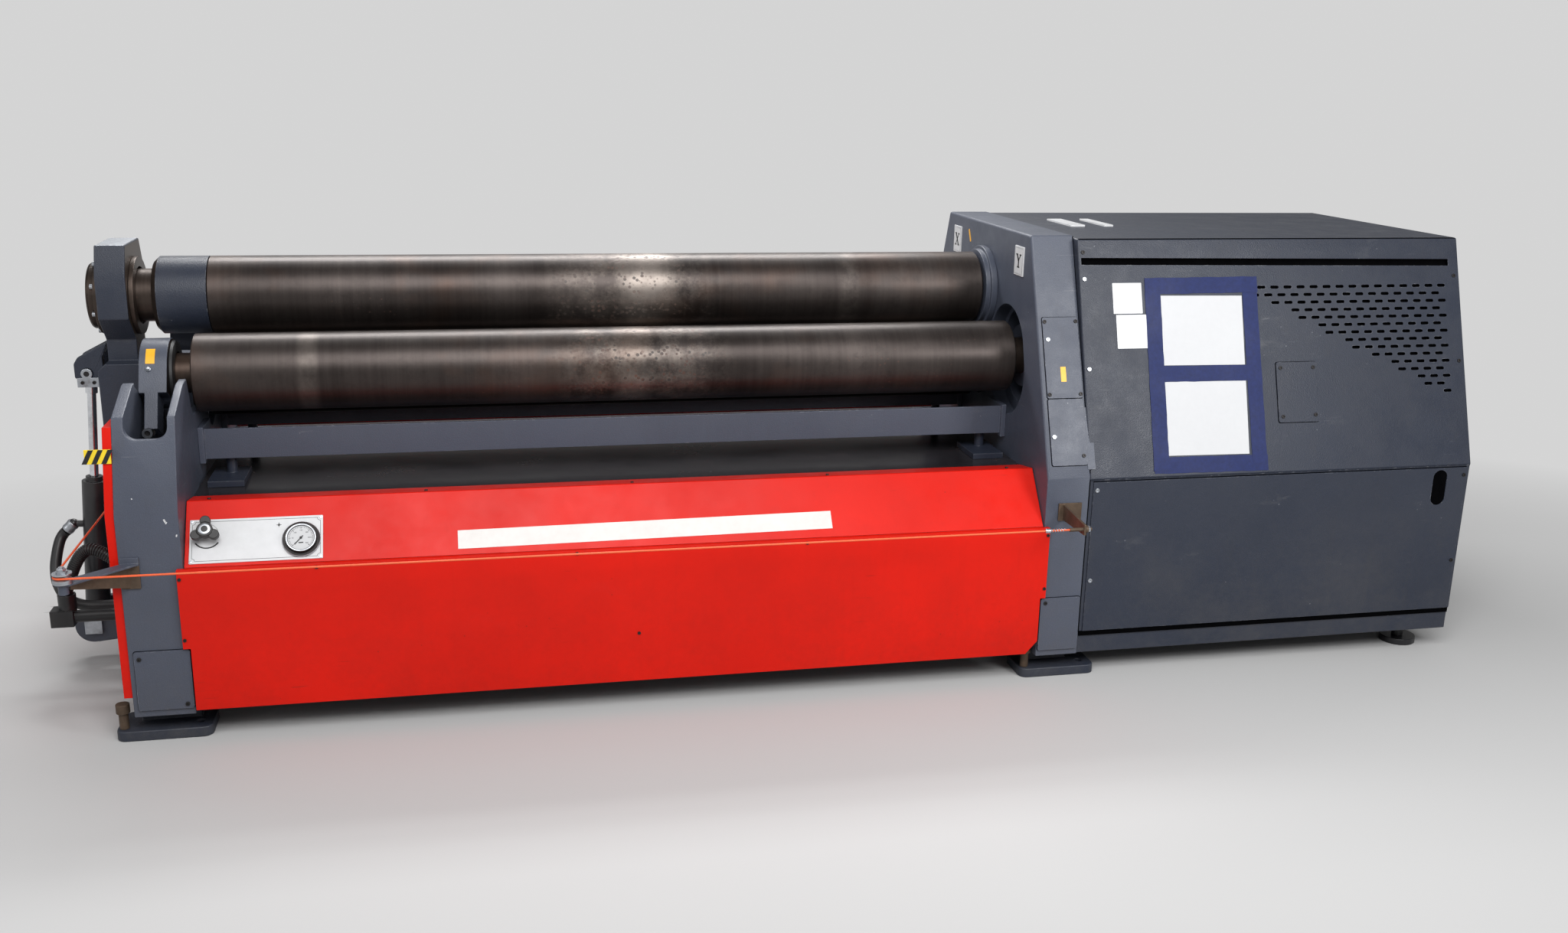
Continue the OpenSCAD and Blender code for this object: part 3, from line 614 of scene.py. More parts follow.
# %% Group: fine pebbled grain of workshop paint
grain_group, given, result = group(
    "paint_grain",
    [("Vector", "Vector", None), ("Size", "Float", 420.0)],
    [("Height", "Float"), ("Speckle", "Float")],
)
pebbles = add(
    grain_group, "TexVoronoi", {"feature": "SMOOTH_F1"},
    Vector=given.outputs["Vector"], Scale=given.outputs["Size"], Smoothness=0.6,
).outputs["Distance"]
swell = noise(grain_group, given.outputs["Vector"], 90.0, 3.0, 0.6)
height = calc(grain_group, "ADD", pebbles, times(grain_group, swell, 0.6))
grain_group.links.new(height, result.inputs["Height"])
grain_group.links.new(ramp(grain_group, pebbles, 0.15, 0.75), result.inputs["Speckle"])
print("group", grain_group.name, "ready")

# %% [markdown]
# ## Painted metal
# The frames and the cabinet wear a blue-grey structured paint, and the covers a bright red one. The cabinet,
# the yoke, the feet, the beam supports and the top roll's sleeve take a darker copy of the blue-grey, which
# is
# painted shade. All are the same recipe: a base colour that drifts a little, pebbled grain as bump, dull
# grime near the floor, runs of dirt, scratches, and edges where primer or bare steel shows. A function makes
# one paint from its colour and its amounts.

# %% Paint recipe


def paint(name, colour, worn_and_highlight, gloss=0.42, dirt=(0.075, 0.070, 0.066), grime=0.45, runs=0.2, edge_wear_and_highlight=0.42,
          grain=0.5, scuff=0.2, speckle=0.14, shine=0.5):
    """Paint wearing to the worn colour, a painted edge highlight on blue-grey; effect amounts run 0 to 1."""
    material, tree, shader, place = finish(name)
    pebble = use(tree, grain_group, Vector=place, Size=430.0)
    dirty = use(tree, grime_group, Vector=place, Low=0.0, High=0.45, Amount=grime)
    edges = use(tree, worn_and_highlit_edge_group, Vector=place, Width=0.0032, Amount=edge_wear_and_highlight)
    drift = noise(tree, place, 1.7, 5.0, 0.6)
    base = mix(tree, ramp(tree, drift, 0.3, 0.7), shade(colour, 0.88), shade(colour, 1.11))
    base = mix(tree, times(tree, pebble["Speckle"], speckle), base, shade(colour, 1.9))
    scuffs = noise(tree, place, 7.0, 8.0, 0.75, stretch=(0.5, 1.4, 1.4))
    chalky = tuple(0.6 * c + 0.07 for c in colour)
    base = mix(tree, times(tree, ramp(tree, scuffs, 0.60, 0.70), scuff), base, chalky)
    scratch = noise(tree, place, 1.0, 2.0, 0.5, stretch=(9, 9, 150))
    scratch = times(tree, ramp(tree, scratch, 0.70, 0.74), ramp(tree, scuffs, 0.50, 0.60))
    base = mix(tree, times(tree, scratch, 0.35), base, shade(worn_and_highlight, 0.8))
    base = mix(tree, times(tree, dirty["Mask"], 0.85), base, dirt)
    base = mix(tree, times(tree, dirty["Runs"], runs), base, shade(dirt, 0.45))
    chips = times(tree, ramp(tree, cells(tree, place, 42.0), 0.10, 0.06), ramp(tree, scuffs, 0.56, 0.60))
    base = mix(tree, times(tree, chips, 0.6), base, worn_and_highlight)
    # Edges take the worn colour: rubbed paint, and on blue-grey a painted highlight along each edge.
    base = mix(tree, edges["Mask"], base, worn_and_highlight)
    rough = ramp(tree, noise(tree, place, 12.0, 5.0, 0.65), 0.3, 0.7, gloss - 0.06, gloss + 0.10)
    rough = calc(tree, "ADD", rough, times(tree, dirty["Mask"], 0.3), clamp=True)
    bump = add(tree, "Bump", Strength=grain, Distance=0.0005, Height=pebble["Height"])
    plug(tree, shader, Base_Color=base, Roughness=rough, Normal=bump.outputs[0], Specular_IOR_Level=shine)
    return material


paint("blue_grey_paint", srgb(64, 69, 82), srgb(128, 130, 136))
# A darker copy of the blue-grey paint: painted shade on the cabinet, yoke, feet, beam supports and sleeve.
paint("cabinet_paint", srgb(33, 38, 50), srgb(112, 114, 120), grain=0.7, speckle=0.3, scuff=0.3, shine=0.42)
paint("red_paint", srgb(197, 23, 9), srgb(116, 32, 22), gloss=0.34, dirt=srgb(84, 26, 20), grime=0.30,
      runs=0.12, edge_wear_and_highlight=0.30, grain=0.14, scuff=0.03, speckle=0.02, shine=0.16)
paint("hazard_yellow", srgb(226, 196, 34), srgb(70, 66, 58), grain=0.1, speckle=0.02)
print("paints:", ", ".join(looks))

# %% [markdown]
# ## Rolled and machined steel
# The rolls are bare forged steel that has darkened to a warm brown under oil. Broad soft bands run round
# them where sheets have rubbed, rust has pitted a patch near the middle, and the light catches their upper
# sides. The bands, the rust and the pits are masks in Object coordinates: a noise squeezed along X gives
# bands round the roll, and a cell texture gives the pits. The light on the upper sides comes from the lamps.

# %% Oiled roll steel


def roll_finish(name, seed, dark, light, rust_centre, rust=0.85, bands_x=()):
    """Roll steel between two colours, rusty round one place, with rubbed bands (centre, width, strength)."""
    material, tree, shader, place = finish(name)
    shifted = add(tree, "Mapping", Vector=place, Location=(seed, seed * 0.7, seed * 0.3)).outputs[0]
    bands = noise(tree, shifted, 1.0, 4.0, 0.5, stretch=(5.0, 0.5, 0.5))
    cloud = noise(tree, shifted, 4.0, 7.0, 0.68)
    mottled = noise(tree, shifted, 38.0, 6.0, 0.7)
    rings = noise(tree, shifted, 1.0, 3.0, 0.6, stretch=(90.0, 3.0, 3.0))
    tone = calc(tree, "ADD", times(tree, bands, 0.62), times(tree, calc(tree, "ADD", cloud, rings), 0.19))
    base = mix(tree, ramp(tree, tone, 0.38, 0.66), dark, light)
    base = mix(tree, ramp(tree, mottled, 0.50, 0.74, 0.0, 0.35), base, shade(dark, 0.5))
    along = add(tree, "SeparateXYZ", Vector=place).outputs["X"]
    away = calc(tree, "ABSOLUTE", calc(tree, "SUBTRACT", along, rust_centre))
    zone = ramp(tree, away, 0.27, 0.10)
    patch = noise(tree, shifted, 19.0, 6.0, 0.75)
    rubbed = times(tree, zone, ramp(tree, patch, 0.42, 0.70), 0.40)
    base = mix(tree, rubbed, base, srgb(150, 139, 130))
    for centre, width, strength in bands_x:
        near = ramp(tree, calc(tree, "ABSOLUTE", calc(tree, "SUBTRACT", along, centre)), width, width * 0.4)
        base = mix(tree, times(tree, near, ramp(tree, cloud, 0.34, 0.6), strength), base, srgb(158, 148, 140))
    pits = ramp(tree, cells(tree, shifted, 78.0), 0.40, 0.28)
    spots = times(tree, pits, ramp(tree, patch, 0.46, 0.54), zone)
    rare = times(tree, ramp(tree, cells(tree, shifted, 70.0), 0.22, 0.12), ramp(tree, cloud, 0.54, 0.62))
    rust_mask = calc(tree, "MAXIMUM", spots, times(tree, rare, 0.6))
    rust_colour = mix(tree, ramp(tree, mottled, 0.4, 0.6), srgb(82, 46, 30), srgb(17, 13, 12))
    base = mix(tree, times(tree, rust_mask, rust), base, rust_colour)
    haze = ramp(tree, noise(tree, shifted, 2.2, 4.0, 0.6), 0.55, 0.72, 0.0, 0.35)
    base = mix(tree, haze, base, srgb(96, 66, 48))
    bare = calc(tree, "SUBTRACT", 0.78, times(tree, rust_mask, 0.7), clamp=True)
    rough = ramp(tree, calc(tree, "ADD", tone, times(tree, rust_mask, 0.3)), 0.35, 0.8, 0.36, 0.50)
    relief = calc(tree, "SUBTRACT", times(tree, mottled, 0.4), times(tree, rust_mask, 0.8))
    bump = add(tree, "Bump", Strength=0.30, Distance=0.0005, Height=relief)
    plug(tree, shader, Base_Color=base, Roughness=rough, Metallic=bare, Normal=bump.outputs[0])
    return material


def x_metres(x):
    return at(x, 0, 0).x


roll_tones = srgb(48, 42, 40), srgb(76, 69, 66)
greasy_tones = srgb(52, 44, 40), srgb(92, 80, 72)
nowhere = -9.0
roll_finish("top_roll_steel", 0.0, *roll_tones, x_metres(1110), rust=0.6,
            bands_x=((x_metres(1150), 0.09, 0.5), (x_metres(1720), 0.035, 0.35)))
roll_finish("front_roll_steel", 5.3, *roll_tones, x_metres(1110),
            bands_x=((x_metres(1090), 0.06, 0.35), (x_metres(280), 0.03, 0.25)))
roll_finish("rear_roll_steel", 11.9, *roll_tones, x_metres(1000))
roll_finish("bottom_roll_steel", 23.1, *roll_tones, x_metres(1050))
roll_finish("roll_steel", 31.7, *greasy_tones, nowhere)
print("with the roll finishes:", len(looks), "finishes")

# %% Turned, ground and plated steel


def turned_steel(name, colour, rough, stain=0.4, metal=1.0):
    """Steel with fine turning lines and brown stains."""
    material, tree, shader, place = finish(name)
    rub = noise(tree, place, 220.0, 2.0, 0.5, stretch=(1.0, 0.25, 0.25))
    cloud = noise(tree, place, 22.0, 6.0, 0.7)
    edges = use(tree, worn_and_highlit_edge_group, Vector=place, Width=0.002, Amount=0.7)
    base = mix(tree, ramp(tree, cloud, 0.35, 0.7), colour, shade(colour, 0.62))
    base = mix(tree, times(tree, ramp(tree, cloud, 0.58, 0.70), stain), base, srgb(84, 62, 46))
    # The edges turn lighter: rubbed steel, and a painted highlight.
    base = mix(tree, times(tree, edges["Mask"], 0.6), base, shade(colour, 1.5))
    bump = add(tree, "Bump", Strength=0.12, Distance=0.0003, Height=rub)
    uneven = calc(tree, "ADD", cloud, times(tree, rub, 0.3))
    plug(tree, shader, Base_Color=base, Metallic=metal, Normal=bump.outputs[0],
         Roughness=ramp(tree, uneven, 0.4, 0.9, rough, rough + 0.22))
    return material


turned_steel("machined_steel", srgb(186, 190, 196), 0.28)
turned_steel("hard_chrome", srgb(226, 228, 232), 0.08, stain=0.05)
turned_steel("dark_bolt", srgb(50, 48, 48), 0.42, stain=0.2, metal=0.7)
turned_steel("brown_steel", srgb(92, 76, 62), 0.5, stain=0.6, metal=0.5)
print("with the turned steels:", len(looks), "finishes")

# %% [markdown]
# ## Everything else: black paint, rubber, deck, labels
# These are small areas, but each still has its own grain. A single recipe with a colour, a roughness, a
# noise scale and a bump covers the moulded, rubber and printed surfaces; the oily deck gets wet patches of
# its own.

# %% Plain surfaces with grain


def plain(name, colour, rough, scale=80.0, drift=0.18, bump=0.25, depth=0.0004, dust=0.25,
          dust_colour=(0.10, 0.095, 0.09), shine=0.5):
    """A moulded, printed or rubber surface: a drifting colour with fine grain and dust."""
    material, tree, shader, place = finish(name)
    cloud = noise(tree, place, scale, 6.0, 0.65)
    broad = noise(tree, place, 6.0, 5.0, 0.6)
    base = mix(tree, ramp(tree, cloud, 0.3, 0.7), shade(colour, 1 - drift), shade(colour, 1 + drift))
    base = mix(tree, times(tree, ramp(tree, broad, 0.45, 0.75), dust), base, dust_colour)
    relief = add(tree, "Bump", Strength=bump, Distance=depth, Height=cloud)
    plug(tree, shader, Base_Color=base, Normal=relief.outputs[0], Specular_IOR_Level=shine,
         Roughness=ramp(tree, broad, 0.3, 0.7, rough - 0.05, rough + 0.12))
    return material


plain("black_paint", srgb(26, 26, 29), 0.34, 120.0)
plain("black_rubber", srgb(24, 24, 26), 0.45, 300.0, dust=0.3)
plain("black_plastic", srgb(20, 20, 22), 0.36, 500.0, bump=0.15, dust=0.2)
plain("white_plate", srgb(194, 195, 197), 0.32, 40.0, drift=0.04, bump=0.05, dust=0.12,
      dust_colour=srgb(150, 145, 138))
plain("wire_orange", srgb(216, 88, 44), 0.4, 200.0, drift=0.1, dust=0.12, dust_colour=srgb(140, 70, 40))
plain("paper", srgb(188, 189, 191), 0.62, 60.0, drift=0.015, bump=0.2, depth=0.0006, dust=0.05,
      dust_colour=srgb(190, 190, 192))
plain("blue_tape", srgb(20, 32, 78), 0.55, 90.0, drift=0.2, bump=0.5, depth=0.0005, dust=0.08,
      dust_colour=srgb(50, 62, 100), shine=0.3)
plain("label_yellow", srgb(232, 168, 30), 0.4, 60.0, drift=0.05, dust=0.15, dust_colour=srgb(170, 130, 60))
plain("white_ink", srgb(206, 203, 200), 0.5, 50.0, drift=0.04, dust=0.1, dust_colour=srgb(190, 170, 160))
plain("black_ink", srgb(20, 20, 22), 0.45, 90.0, drift=0.2, dust=0.15, dust_colour=srgb(60, 60, 62))
# Near-black without shine, used as painted shade in cuts, gaps and seams.
plain("dark_gap", srgb(6, 6, 7), 0.85, 50.0, dust=0.0, shine=0.0)
print("with the plain surfaces:", len(looks), "finishes")

# %% The oily deck


def oily_deck(name):
    """Dark plate with wet oil and flakes of mill scale."""
    material, tree, shader, place = finish(name)
    broad = noise(tree, place, 3.0, 6.0, 0.65)
    fine = noise(tree, place, 70.0, 5.0, 0.7)
    scale_dust = times(tree, ramp(tree, cells(tree, place, 120.0), 0.30, 0.18), ramp(tree, broad, 0.50, 0.60))
    base = mix(tree, ramp(tree, broad, 0.30, 0.70), srgb(30, 28, 31), srgb(42, 40, 44))
    base = mix(tree, ramp(tree, fine, 0.50, 0.75, 0.0, 0.3), base, srgb(22, 21, 20))
    base = mix(tree, times(tree, scale_dust, 0.7), base, srgb(78, 58, 44))
    wet = ramp(tree, broad, 0.35, 0.75, 0.16, 0.34)
    relief = add(tree, "Bump", Strength=0.25, Distance=0.0005, Height=fine)
    plug(tree, shader, Base_Color=base, Roughness=wet, Normal=relief.outputs[0])
    return material


oily_deck("dark_deck")
print(len(looks), "finishes in all")

# %% [markdown]
# ## Rounded edges on the heavy plates
# Flame-cut and welded plate never has a knife edge, and it is the thin bright line along each edge that
# makes a machine look solid. A CAD node's mesh stays untouched. Instead a copy has its doubled corners
# merged and its flat faces joined into one, and then its sharp edges are rounded; the copy stands for the
# node.

# %% Rounded copies of CAD nodes


def clean_copy(name):
    """A CAD node as a bmesh, with its corners merged and its flat faces joined."""
    shape = as_bmesh(node[name].data)
    bmesh.ops.remove_doubles(shape, verts=shape.verts, dist=0.12 * MM)
    bmesh.ops.dissolve_limit(shape, angle_limit=math.radians(1), verts=shape.verts, edges=shape.edges)
    return shape


def stand_in(name, shape, look=None):
    """Puts a worked copy in the place of its CAD node."""
    made = piece(name + "_finished", shape, look or slot_of[name], body_of[name])
    stands_for(name)
    return made


rounding = {
    "left_frame": 2.5, "frame_feet": 3.0, "front_blocks": 2.0, "rear_blocks": 2.0, "bottom_blocks": 2.0,
    "drop_yoke": 3.0, "roll_flange": 2.0, "cabinet_base": 3.0, "cabinet_feet": 1.5, "base_ties": 2.0,
    "front_upper_cover": 1.0, "rear_upper_cover": 1.0, "front_lower_cover": 1.2, "rear_lower_cover": 1.2,
    "front_beam": 1.5, "rear_beam": 1.5, "beam_supports": 1.5, "levelling_bolts": 1.5, "wire_brackets": 1.0,
    "side_covers": 1.0, "cylinder_lug": 2.0, "cylinder_barrel": 1.2, "cylinder_rod": 1.0, "frame_pins": 1.5,
    "yoke_pin": 1.2, "yoke_bearing": 1.5, "star_knob": 2.0, "conduit_fittings": 1.5, "guard_bars": 0.6,
}
# The darker blue-grey on the yoke, the feet, the beam supports and the cabinet base is painted shade.
own_look = {
    "drop_yoke": "cabinet_paint", "frame_feet": "cabinet_paint", "beam_supports": "cabinet_paint",
    "cabinet_base": "cabinet_paint", "roll_flange": "blue_grey_paint", "levelling_bolts": "brown_steel",
}
finished = {}
for name, width in rounding.items():
    shape = clean_copy(name)
    soften(shape, width, 2, angle=32.0, clamp=False)
    finished[name] = stand_in(name, shape, own_look.get(name))
print("rounded", len(finished), "nodes,", sum(len(made.data.polygons) for made in finished.values()), "faces")

# %% The drive-end frame has a larger radius along its top edge
rim_radius = 7.0
bend_z = 569 * MM
lean_in = 231 / 611
shape = clean_copy("right_frame")
inner_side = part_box("right_frame")[0].x


def top_rim(edge):
    """Edges of the inner side plate's outline, above the bend."""
    points = [vertex.co for vertex in edge.verts]
    outline = all(abs(p.x - inner_side) < 1e-4 and p.z > bend_z - MM for p in points)
    return outline and all(abs(p.y) > -front_y * MM - (p.z - bend_z) * lean_in - 2 * MM for p in points)


soften(shape, rim_radius, 4, clamp=False, chosen=top_rim)
soften(shape, 2.5, 2, angle=32.0, clamp=False)
finished["right_frame"] = stand_in("right_frame", shape)
print("drive-end frame:", len(finished["right_frame"].data.polygons), "faces")

# %% Bare and greasy faces


def bare_bracket(middle, normal):
    """The brackets at the drive end, and the roots of those at the drop end."""
    return middle.x > x_metres(drive_in) or (middle.x > x_metres(outer) and middle.z < 0.449)


repaint(finished["drop_yoke"], "machined_steel", lambda middle, normal: normal.z > 0.95 and middle.z > 1.12)
repaint(finished["drop_yoke"], "roll_steel", lambda middle, normal: normal.x > 0.95)
repaint(finished["wire_brackets"], "brown_steel", bare_bracket)
repaint(finished["cylinder_rod"], "dark_bolt", lambda middle, normal: middle.z > 0.779)
for name in ("front_blocks", "rear_blocks"):
    repaint(finished[name], "roll_steel", lambda middle, normal: normal.x > 0.95 and middle.x > x_metres(-60))
print("yoke and blocks have their bare faces")

# %% [markdown]
# ## Rolls
# Each roll is a single turned forging, so its whole shape is one profile: journal, shoulder, barrel with a
# small chamfer at each end, shoulder, journal. The top roll's drop end is painted, with a dark chamfer and
# a greasy neck that sits in the yoke's bearing.

# %% Turn the rolls


def roll_profile(x0, x1, radius, journal, x_end, x_start=None, chamfer=3.0):
    """A barrel from x0 to x1, with a journal at the drive end and one at the drop end if x_start is given."""
    start = [(x0, 0)] if x_start is None else [(x_start, 0), (x_start, journal), (x0, journal)]
    return start + [(x0, radius - chamfer), (x0 + chamfer, radius), (x1 - chamfer, radius),
                    (x1, radius - chamfer), (x1, journal), (x_end, journal), (x_end, 0)]


def roll_piece(name, place, barrel):
    """A turned roll in the place of its CAD node."""
    turned_roll = x_turned(name + "_turned", roll_profile(*barrel), *place, name + "_steel", body_of[name])
    stands_for(name)
    return turned_roll


side_y, side_z = 205, 830
journal_start = span("front_roll")[0].x
journal_end = {name: span(name)[1].x for name in ("top_roll", "front_roll", "rear_roll", "bottom_roll")}
for name, place, barrel in (
    ("front_roll", (-side_y, side_z), (6, 2146, 98, 50)),
    ("rear_roll", (side_y, side_z), (6, 2146, 98, 50)),
    ("bottom_roll", (0, 775), (6, 2112, 98, 45)),
):
    made = roll_piece(name, place, (*barrel, journal_end[name], journal_start))
    repaint(made, "roll_steel", lambda middle, normal: middle.x < x_metres(5) or middle.x > x_metres(2150))
print("three lower rolls turned")

# %% Top roll, its neck and its painted sleeve
top_place = (0, 996)
roll_piece("top_roll", top_place, (25, 2112, 100, 68, journal_end["top_roll"]))
neck = [(-222, 0), (-222, 45), (-164, 66), (-162, 68), (-112, 68), (-109, 72), (-108, 88), (-96, 99.7),
        (-90, 99.7), (-90, 0)]
x_turned("top_roll_neck", neck, *top_place, "roll_steel", "top_roll")
ring = [(-96, 60), (-96, 100), (24.6, 100), (24.9, 99.4), (24.9, 60), (-96, 60)]
# The sleeve takes the darker blue-grey, which is painted shade.
sleeve = x_turned("top_roll_sleeve", ring, *top_place, "cabinet_paint", "top_roll")
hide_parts("top_roll_end")
print("top roll turned")

# %% Bars and arcs for printed lines


def bar(surface, a, b, width, out, thick=0.25):
    """A thin straight line between two places on a surface."""
    (ax, ay), (bx, by) = a, b
    length = math.hypot(bx - ax, by - ay)
    spin = math.degrees(math.atan2(by - ay, bx - ax))
    return put(plate(length, width, thick, 0), on(surface, (ax + bx) / 2, (ay + by) / 2, out, spin))


def arc(surface, x, s, radius, width, start, stop, out, thick=0.25, steps=24):
    """A thin curved line round a place on a surface, as a strip turned round the middle."""
    strip = bmesh.new()
    bmesh.ops.create_cube(strip, size=1.0)
    bmesh.ops.scale(strip, vec=Vector((width, 0.02, thick)) * MM, verts=strip.verts)
    bmesh.ops.translate(strip, vec=Vector((radius, 0, thick / 2)) * MM, verts=strip.verts)
    ends = [f for f in strip.faces if f.normal.y > 0.9]
    sweep = math.radians(stop - start)
    bmesh.ops.spin(strip, geom=ends, axis=(0, 0, 1), cent=(0, 0, 0), angle=sweep, steps=steps)
    return put(strip, on(surface, x, s, out, start))


# %% [markdown]
# ## Drop end
# The yoke's bearing is closed by a cap with a ring of bolts. The blocks of the side rolls have a black seal
# round the journal, a yellow label left blank, and a grease nipple. A pin with a bright collar holds a
# clevis behind each notch. All of it repeats on the far side.

# %% Bearing cap and its bolts
bolt_circle, bolt_count = 91, 8
cap_face = facing(*top_place, right=(0, -1, 0), x=outer - 121)
bolt_face = facing(*top_place, right=(0, -1, 0), x=outer - 105)
cap = turned([(0, 84), (4, 82), (8, 60), (11, 30), (12, 0)], on(cap_face, 0, 0), 64)
piece("bearing_cap", cap, "roll_steel", "yoke")
angles = [math.radians(22.5 + 360 / bolt_count * k) for k in range(bolt_count)]
bolt_places = [on(bolt_face, bolt_circle * math.cos(a), bolt_circle * math.sin(a)) for a in angles]
piece("bearing_bolts", repeat(socket_screw(6.5, 7, 4), bolt_places), "machined_steel", "yoke")
print("cap with", len(bolt_places), "bolts")

# %% Seals, nipples and labels on the side blocks
seal = [(-48, 54), (-48, 80), (-44, 83), (-38, 80), (-36, 74), (-36, 54), (-48, 54)]
nipple = [(0, 0), (0, 5), (4, 5), (4, 3.4), (9, 3.4), (10, 4.4), (13, 3.2), (14, 0)]
block_face = facing(-side_y, side_z, right=(0, -1, 0), x=-76)
block_shoulder = slope((-316.4, 804.4), (-283.6, 869.6))
for side, sign in sides:
    body = side + "_slide"
    x_turned(side + "_seal", seal, sign * side_y, side_z, "black_rubber", body, steps=64)
    label = arc(block_face, 0, 0, 88.3, 0.8, 27, 54, 0, thick=21)
    piece(side + "_label", put(label, flip_to[side]), "label_yellow", body)
    nipple_place = flip_to[side] @ on(block_shoulder, -89, 59)
    piece(side + "_nipple", turned(nipple, nipple_place, 20), "machined_steel", body)
print("seals, labels and nipples")

# %% Pins behind the notches
pin = [(-17, 0), (-17, 9), (-15, 11), (-3, 11), (-3, 15), (3, 15), (3, 11), (15, 11), (17, 9), (17, 0)]
pin_ring = [(-2, 7), (-2, 12), (2, 12), (2, 7), (-2, 7)]
pin_x, pin_z = -90, 716
for side, sign in sides:
    clevis = turned(pin, Matrix.Translation(at(pin_x, sign * 348, pin_z)) @ quarter_turn("X"), 32)
    piece(side + "_clevis_pin", clevis, "dark_bolt", side + "_slide", sharp=30)
    ring = turned(pin_ring, Matrix.Translation(at(pin_x, sign * 367, pin_z)) @ quarter_turn("X"), 32)
    piece(side + "_clevis_ring", ring, "machined_steel", side + "_slide")
print("pins behind both notches")

# %% Screws of the lock plate, and the yoke pins' centres
plate_start, lock_y = span("yoke_pin")[0].x, span("yoke_pin")[0].y
lock_face = facing(lock_y, 0)
screws = repeat(socket_screw(4.6, 3.0, 2.0), [on(lock_face, plate_start + x, 778.5) for x in (13, 41)])
piece("lock_plate_screws", screws, "dark_bolt", "yoke")
centres = [flip @ on(lock_face, outer - 150, 801) for flip in flip_to.values()]
centre = lathe([(0, 0), (0, 7), (0.8, 6.4), (0.8, 0)], 24)
piece("yoke_pin_centres", repeat(centre, centres), "dark_bolt", "yoke")
print("lock plate held by two screws")

# %% [markdown]
# ## Controls on the front cover
# The small panel carries a pressure gauge and a star knob. The gauge is turned: a flange, a raised bezel
# and a sunken white dial with its scale, numbers and needle as thin raised shapes. The panel's border line
# and the scale behind the knob are printed, so they are raised by a hair only.

# %% Control panel
knob_x, knob_s, gauge_x, gauge_s = 51, 81, 265, 57
panel = put(plate(302, 110, 2, 2.0, 0.4), on(cover_slope, 163, 63))
panel = piece("control_panel", panel, "white_plate")
stands_for("control_plate")
left, right, foot, head, notch = 18, 308, 14, 112, 7
printed = 1.95
lines = [bar(cover_slope, (left + notch, s), (right - notch, s), 0.9, printed) for s in (foot, head)]
lines += [bar(cover_slope, (x, foot + notch), (x, head - notch), 0.9, printed) for x in (left, right)]
lines += [arc(cover_slope, x, s, notch, 0.9, turn_to, turn_to + 90, printed)
          for x, s, turn_to in ((left, foot, 0), (right, foot, 90), (right, head, 180), (left, head, 270))]
lines += [arc(cover_slope, knob_x, knob_s - 4, 31, 3.2, 215, 325, printed),
          arc(cover_slope, knob_x, knob_s, 25, 0.7, -40, 220, printed)]
cross_x, cross_s, arm = 213, 97, 6
lines += [bar(cover_slope, (cross_x - arm, cross_s), (cross_x + arm, cross_s), 1.0, printed),
          bar(cover_slope, (cross_x, cross_s - arm), (cross_x, cross_s + arm), 1.0, printed),
          arc(cover_slope, cross_x, cross_s, 2.2, 1.6, 0, 360, 2.0)]
piece("panel_print", gather(*lines), "black_ink")
corners = [on(cover_slope, x, s, 1.9) for x in (17, 309) for s in (13, 113)]
piece("panel_screws", repeat(socket_screw(3.6, 2.0, 1.4), corners), "machined_steel")
print("panel, its print and", len(corners), "screws")

# %% Gauge case and dial
case = [(0, 20), (0, 43), (1, 44), (6, 44), (7, 43), (7, 36.5), (8, 36), (15.5, 36), (17, 34.5), (17, 32),
        (16, 31), (13.4, 31), (13.4, 20), (0, 20)]
dial = [(12, 0), (12, 31.2), (13.6, 31.2), (13.6, 0)]
gauge_foot = on(cover_slope, gauge_x, gauge_s, 2)
gauge = piece("gauge_case", turned(case, gauge_foot, 72), "machined_steel", sharp=30)
stands_for("pressure_gauge")
flange_middle = on(cover_slope, gauge_x, gauge_s, 9).translation
# The dark band on the flange and the bezel's wall is painted shading on polished steel.
repaint(gauge, "dark_bolt", lambda middle, normal: 36 * MM < (middle - flange_middle).length < 42.5 * MM)
piece("gauge_dial", turned(dial, gauge_foot), "paper")
print("gauge turned")

# %% Gauge scale, numbers and needle


def round_gauge(angle, radius):
    """A place on the gauge's dial, as x and s on the cover."""
    return gauge_x + radius * math.cos(angle), gauge_s + radius * math.sin(angle)


def digits(text, size):
    """Printed figures as a shape, middle at the origin."""
    number = bpy.data.curves.new("number", "FONT")
    number.body = text
    number.size = size * MM
    number.align_x = "CENTER"
    number.align_y = "CENTER"
    number.extrude = 0.1 * MM
    helper = bpy.data.objects.new("number", number)
    shape = as_bmesh(bpy.data.meshes.new_from_object(helper))
    bpy.data.objects.remove(helper)
    return shape


scale_start, mark_step, number_step, needle_turn = 225, 9, 45, 228
on_dial = 15.55
marks = []
for k in range(31):
    angle = math.radians(scale_start - mark_step * k)
    inner, width = (23.5, 1.3) if k % 5 == 0 else (25.5, 0.8)
    marks.append(bar(cover_slope, round_gauge(angle, inner), round_gauge(angle, 28.5), width, on_dial))
needle = math.radians(needle_turn)
marks.append(bar(cover_slope, round_gauge(needle, -7), round_gauge(needle, 22), 2.2, 16.2, 0.5))
hub = [(0, 0), (0, 3), (1.6, 3), (2.0, 2.4), (2.0, 0)]
marks.append(turned(hub, on(cover_slope, gauge_x, gauge_s, 15.6), 20))
marks.append(put(plate(11, 3, 0.2, 0), on(cover_slope, gauge_x, gauge_s - 12, on_dial)))
for k in range(7):
    place = round_gauge(math.radians(scale_start - number_step * k), 19)
    marks.append(put(digits(str(50 * k), 4.6), on(cover_slope, *place, 15.7)))
piece("gauge_print", gather(*marks), "black_ink")
print("gauge with", len(marks), "marks")

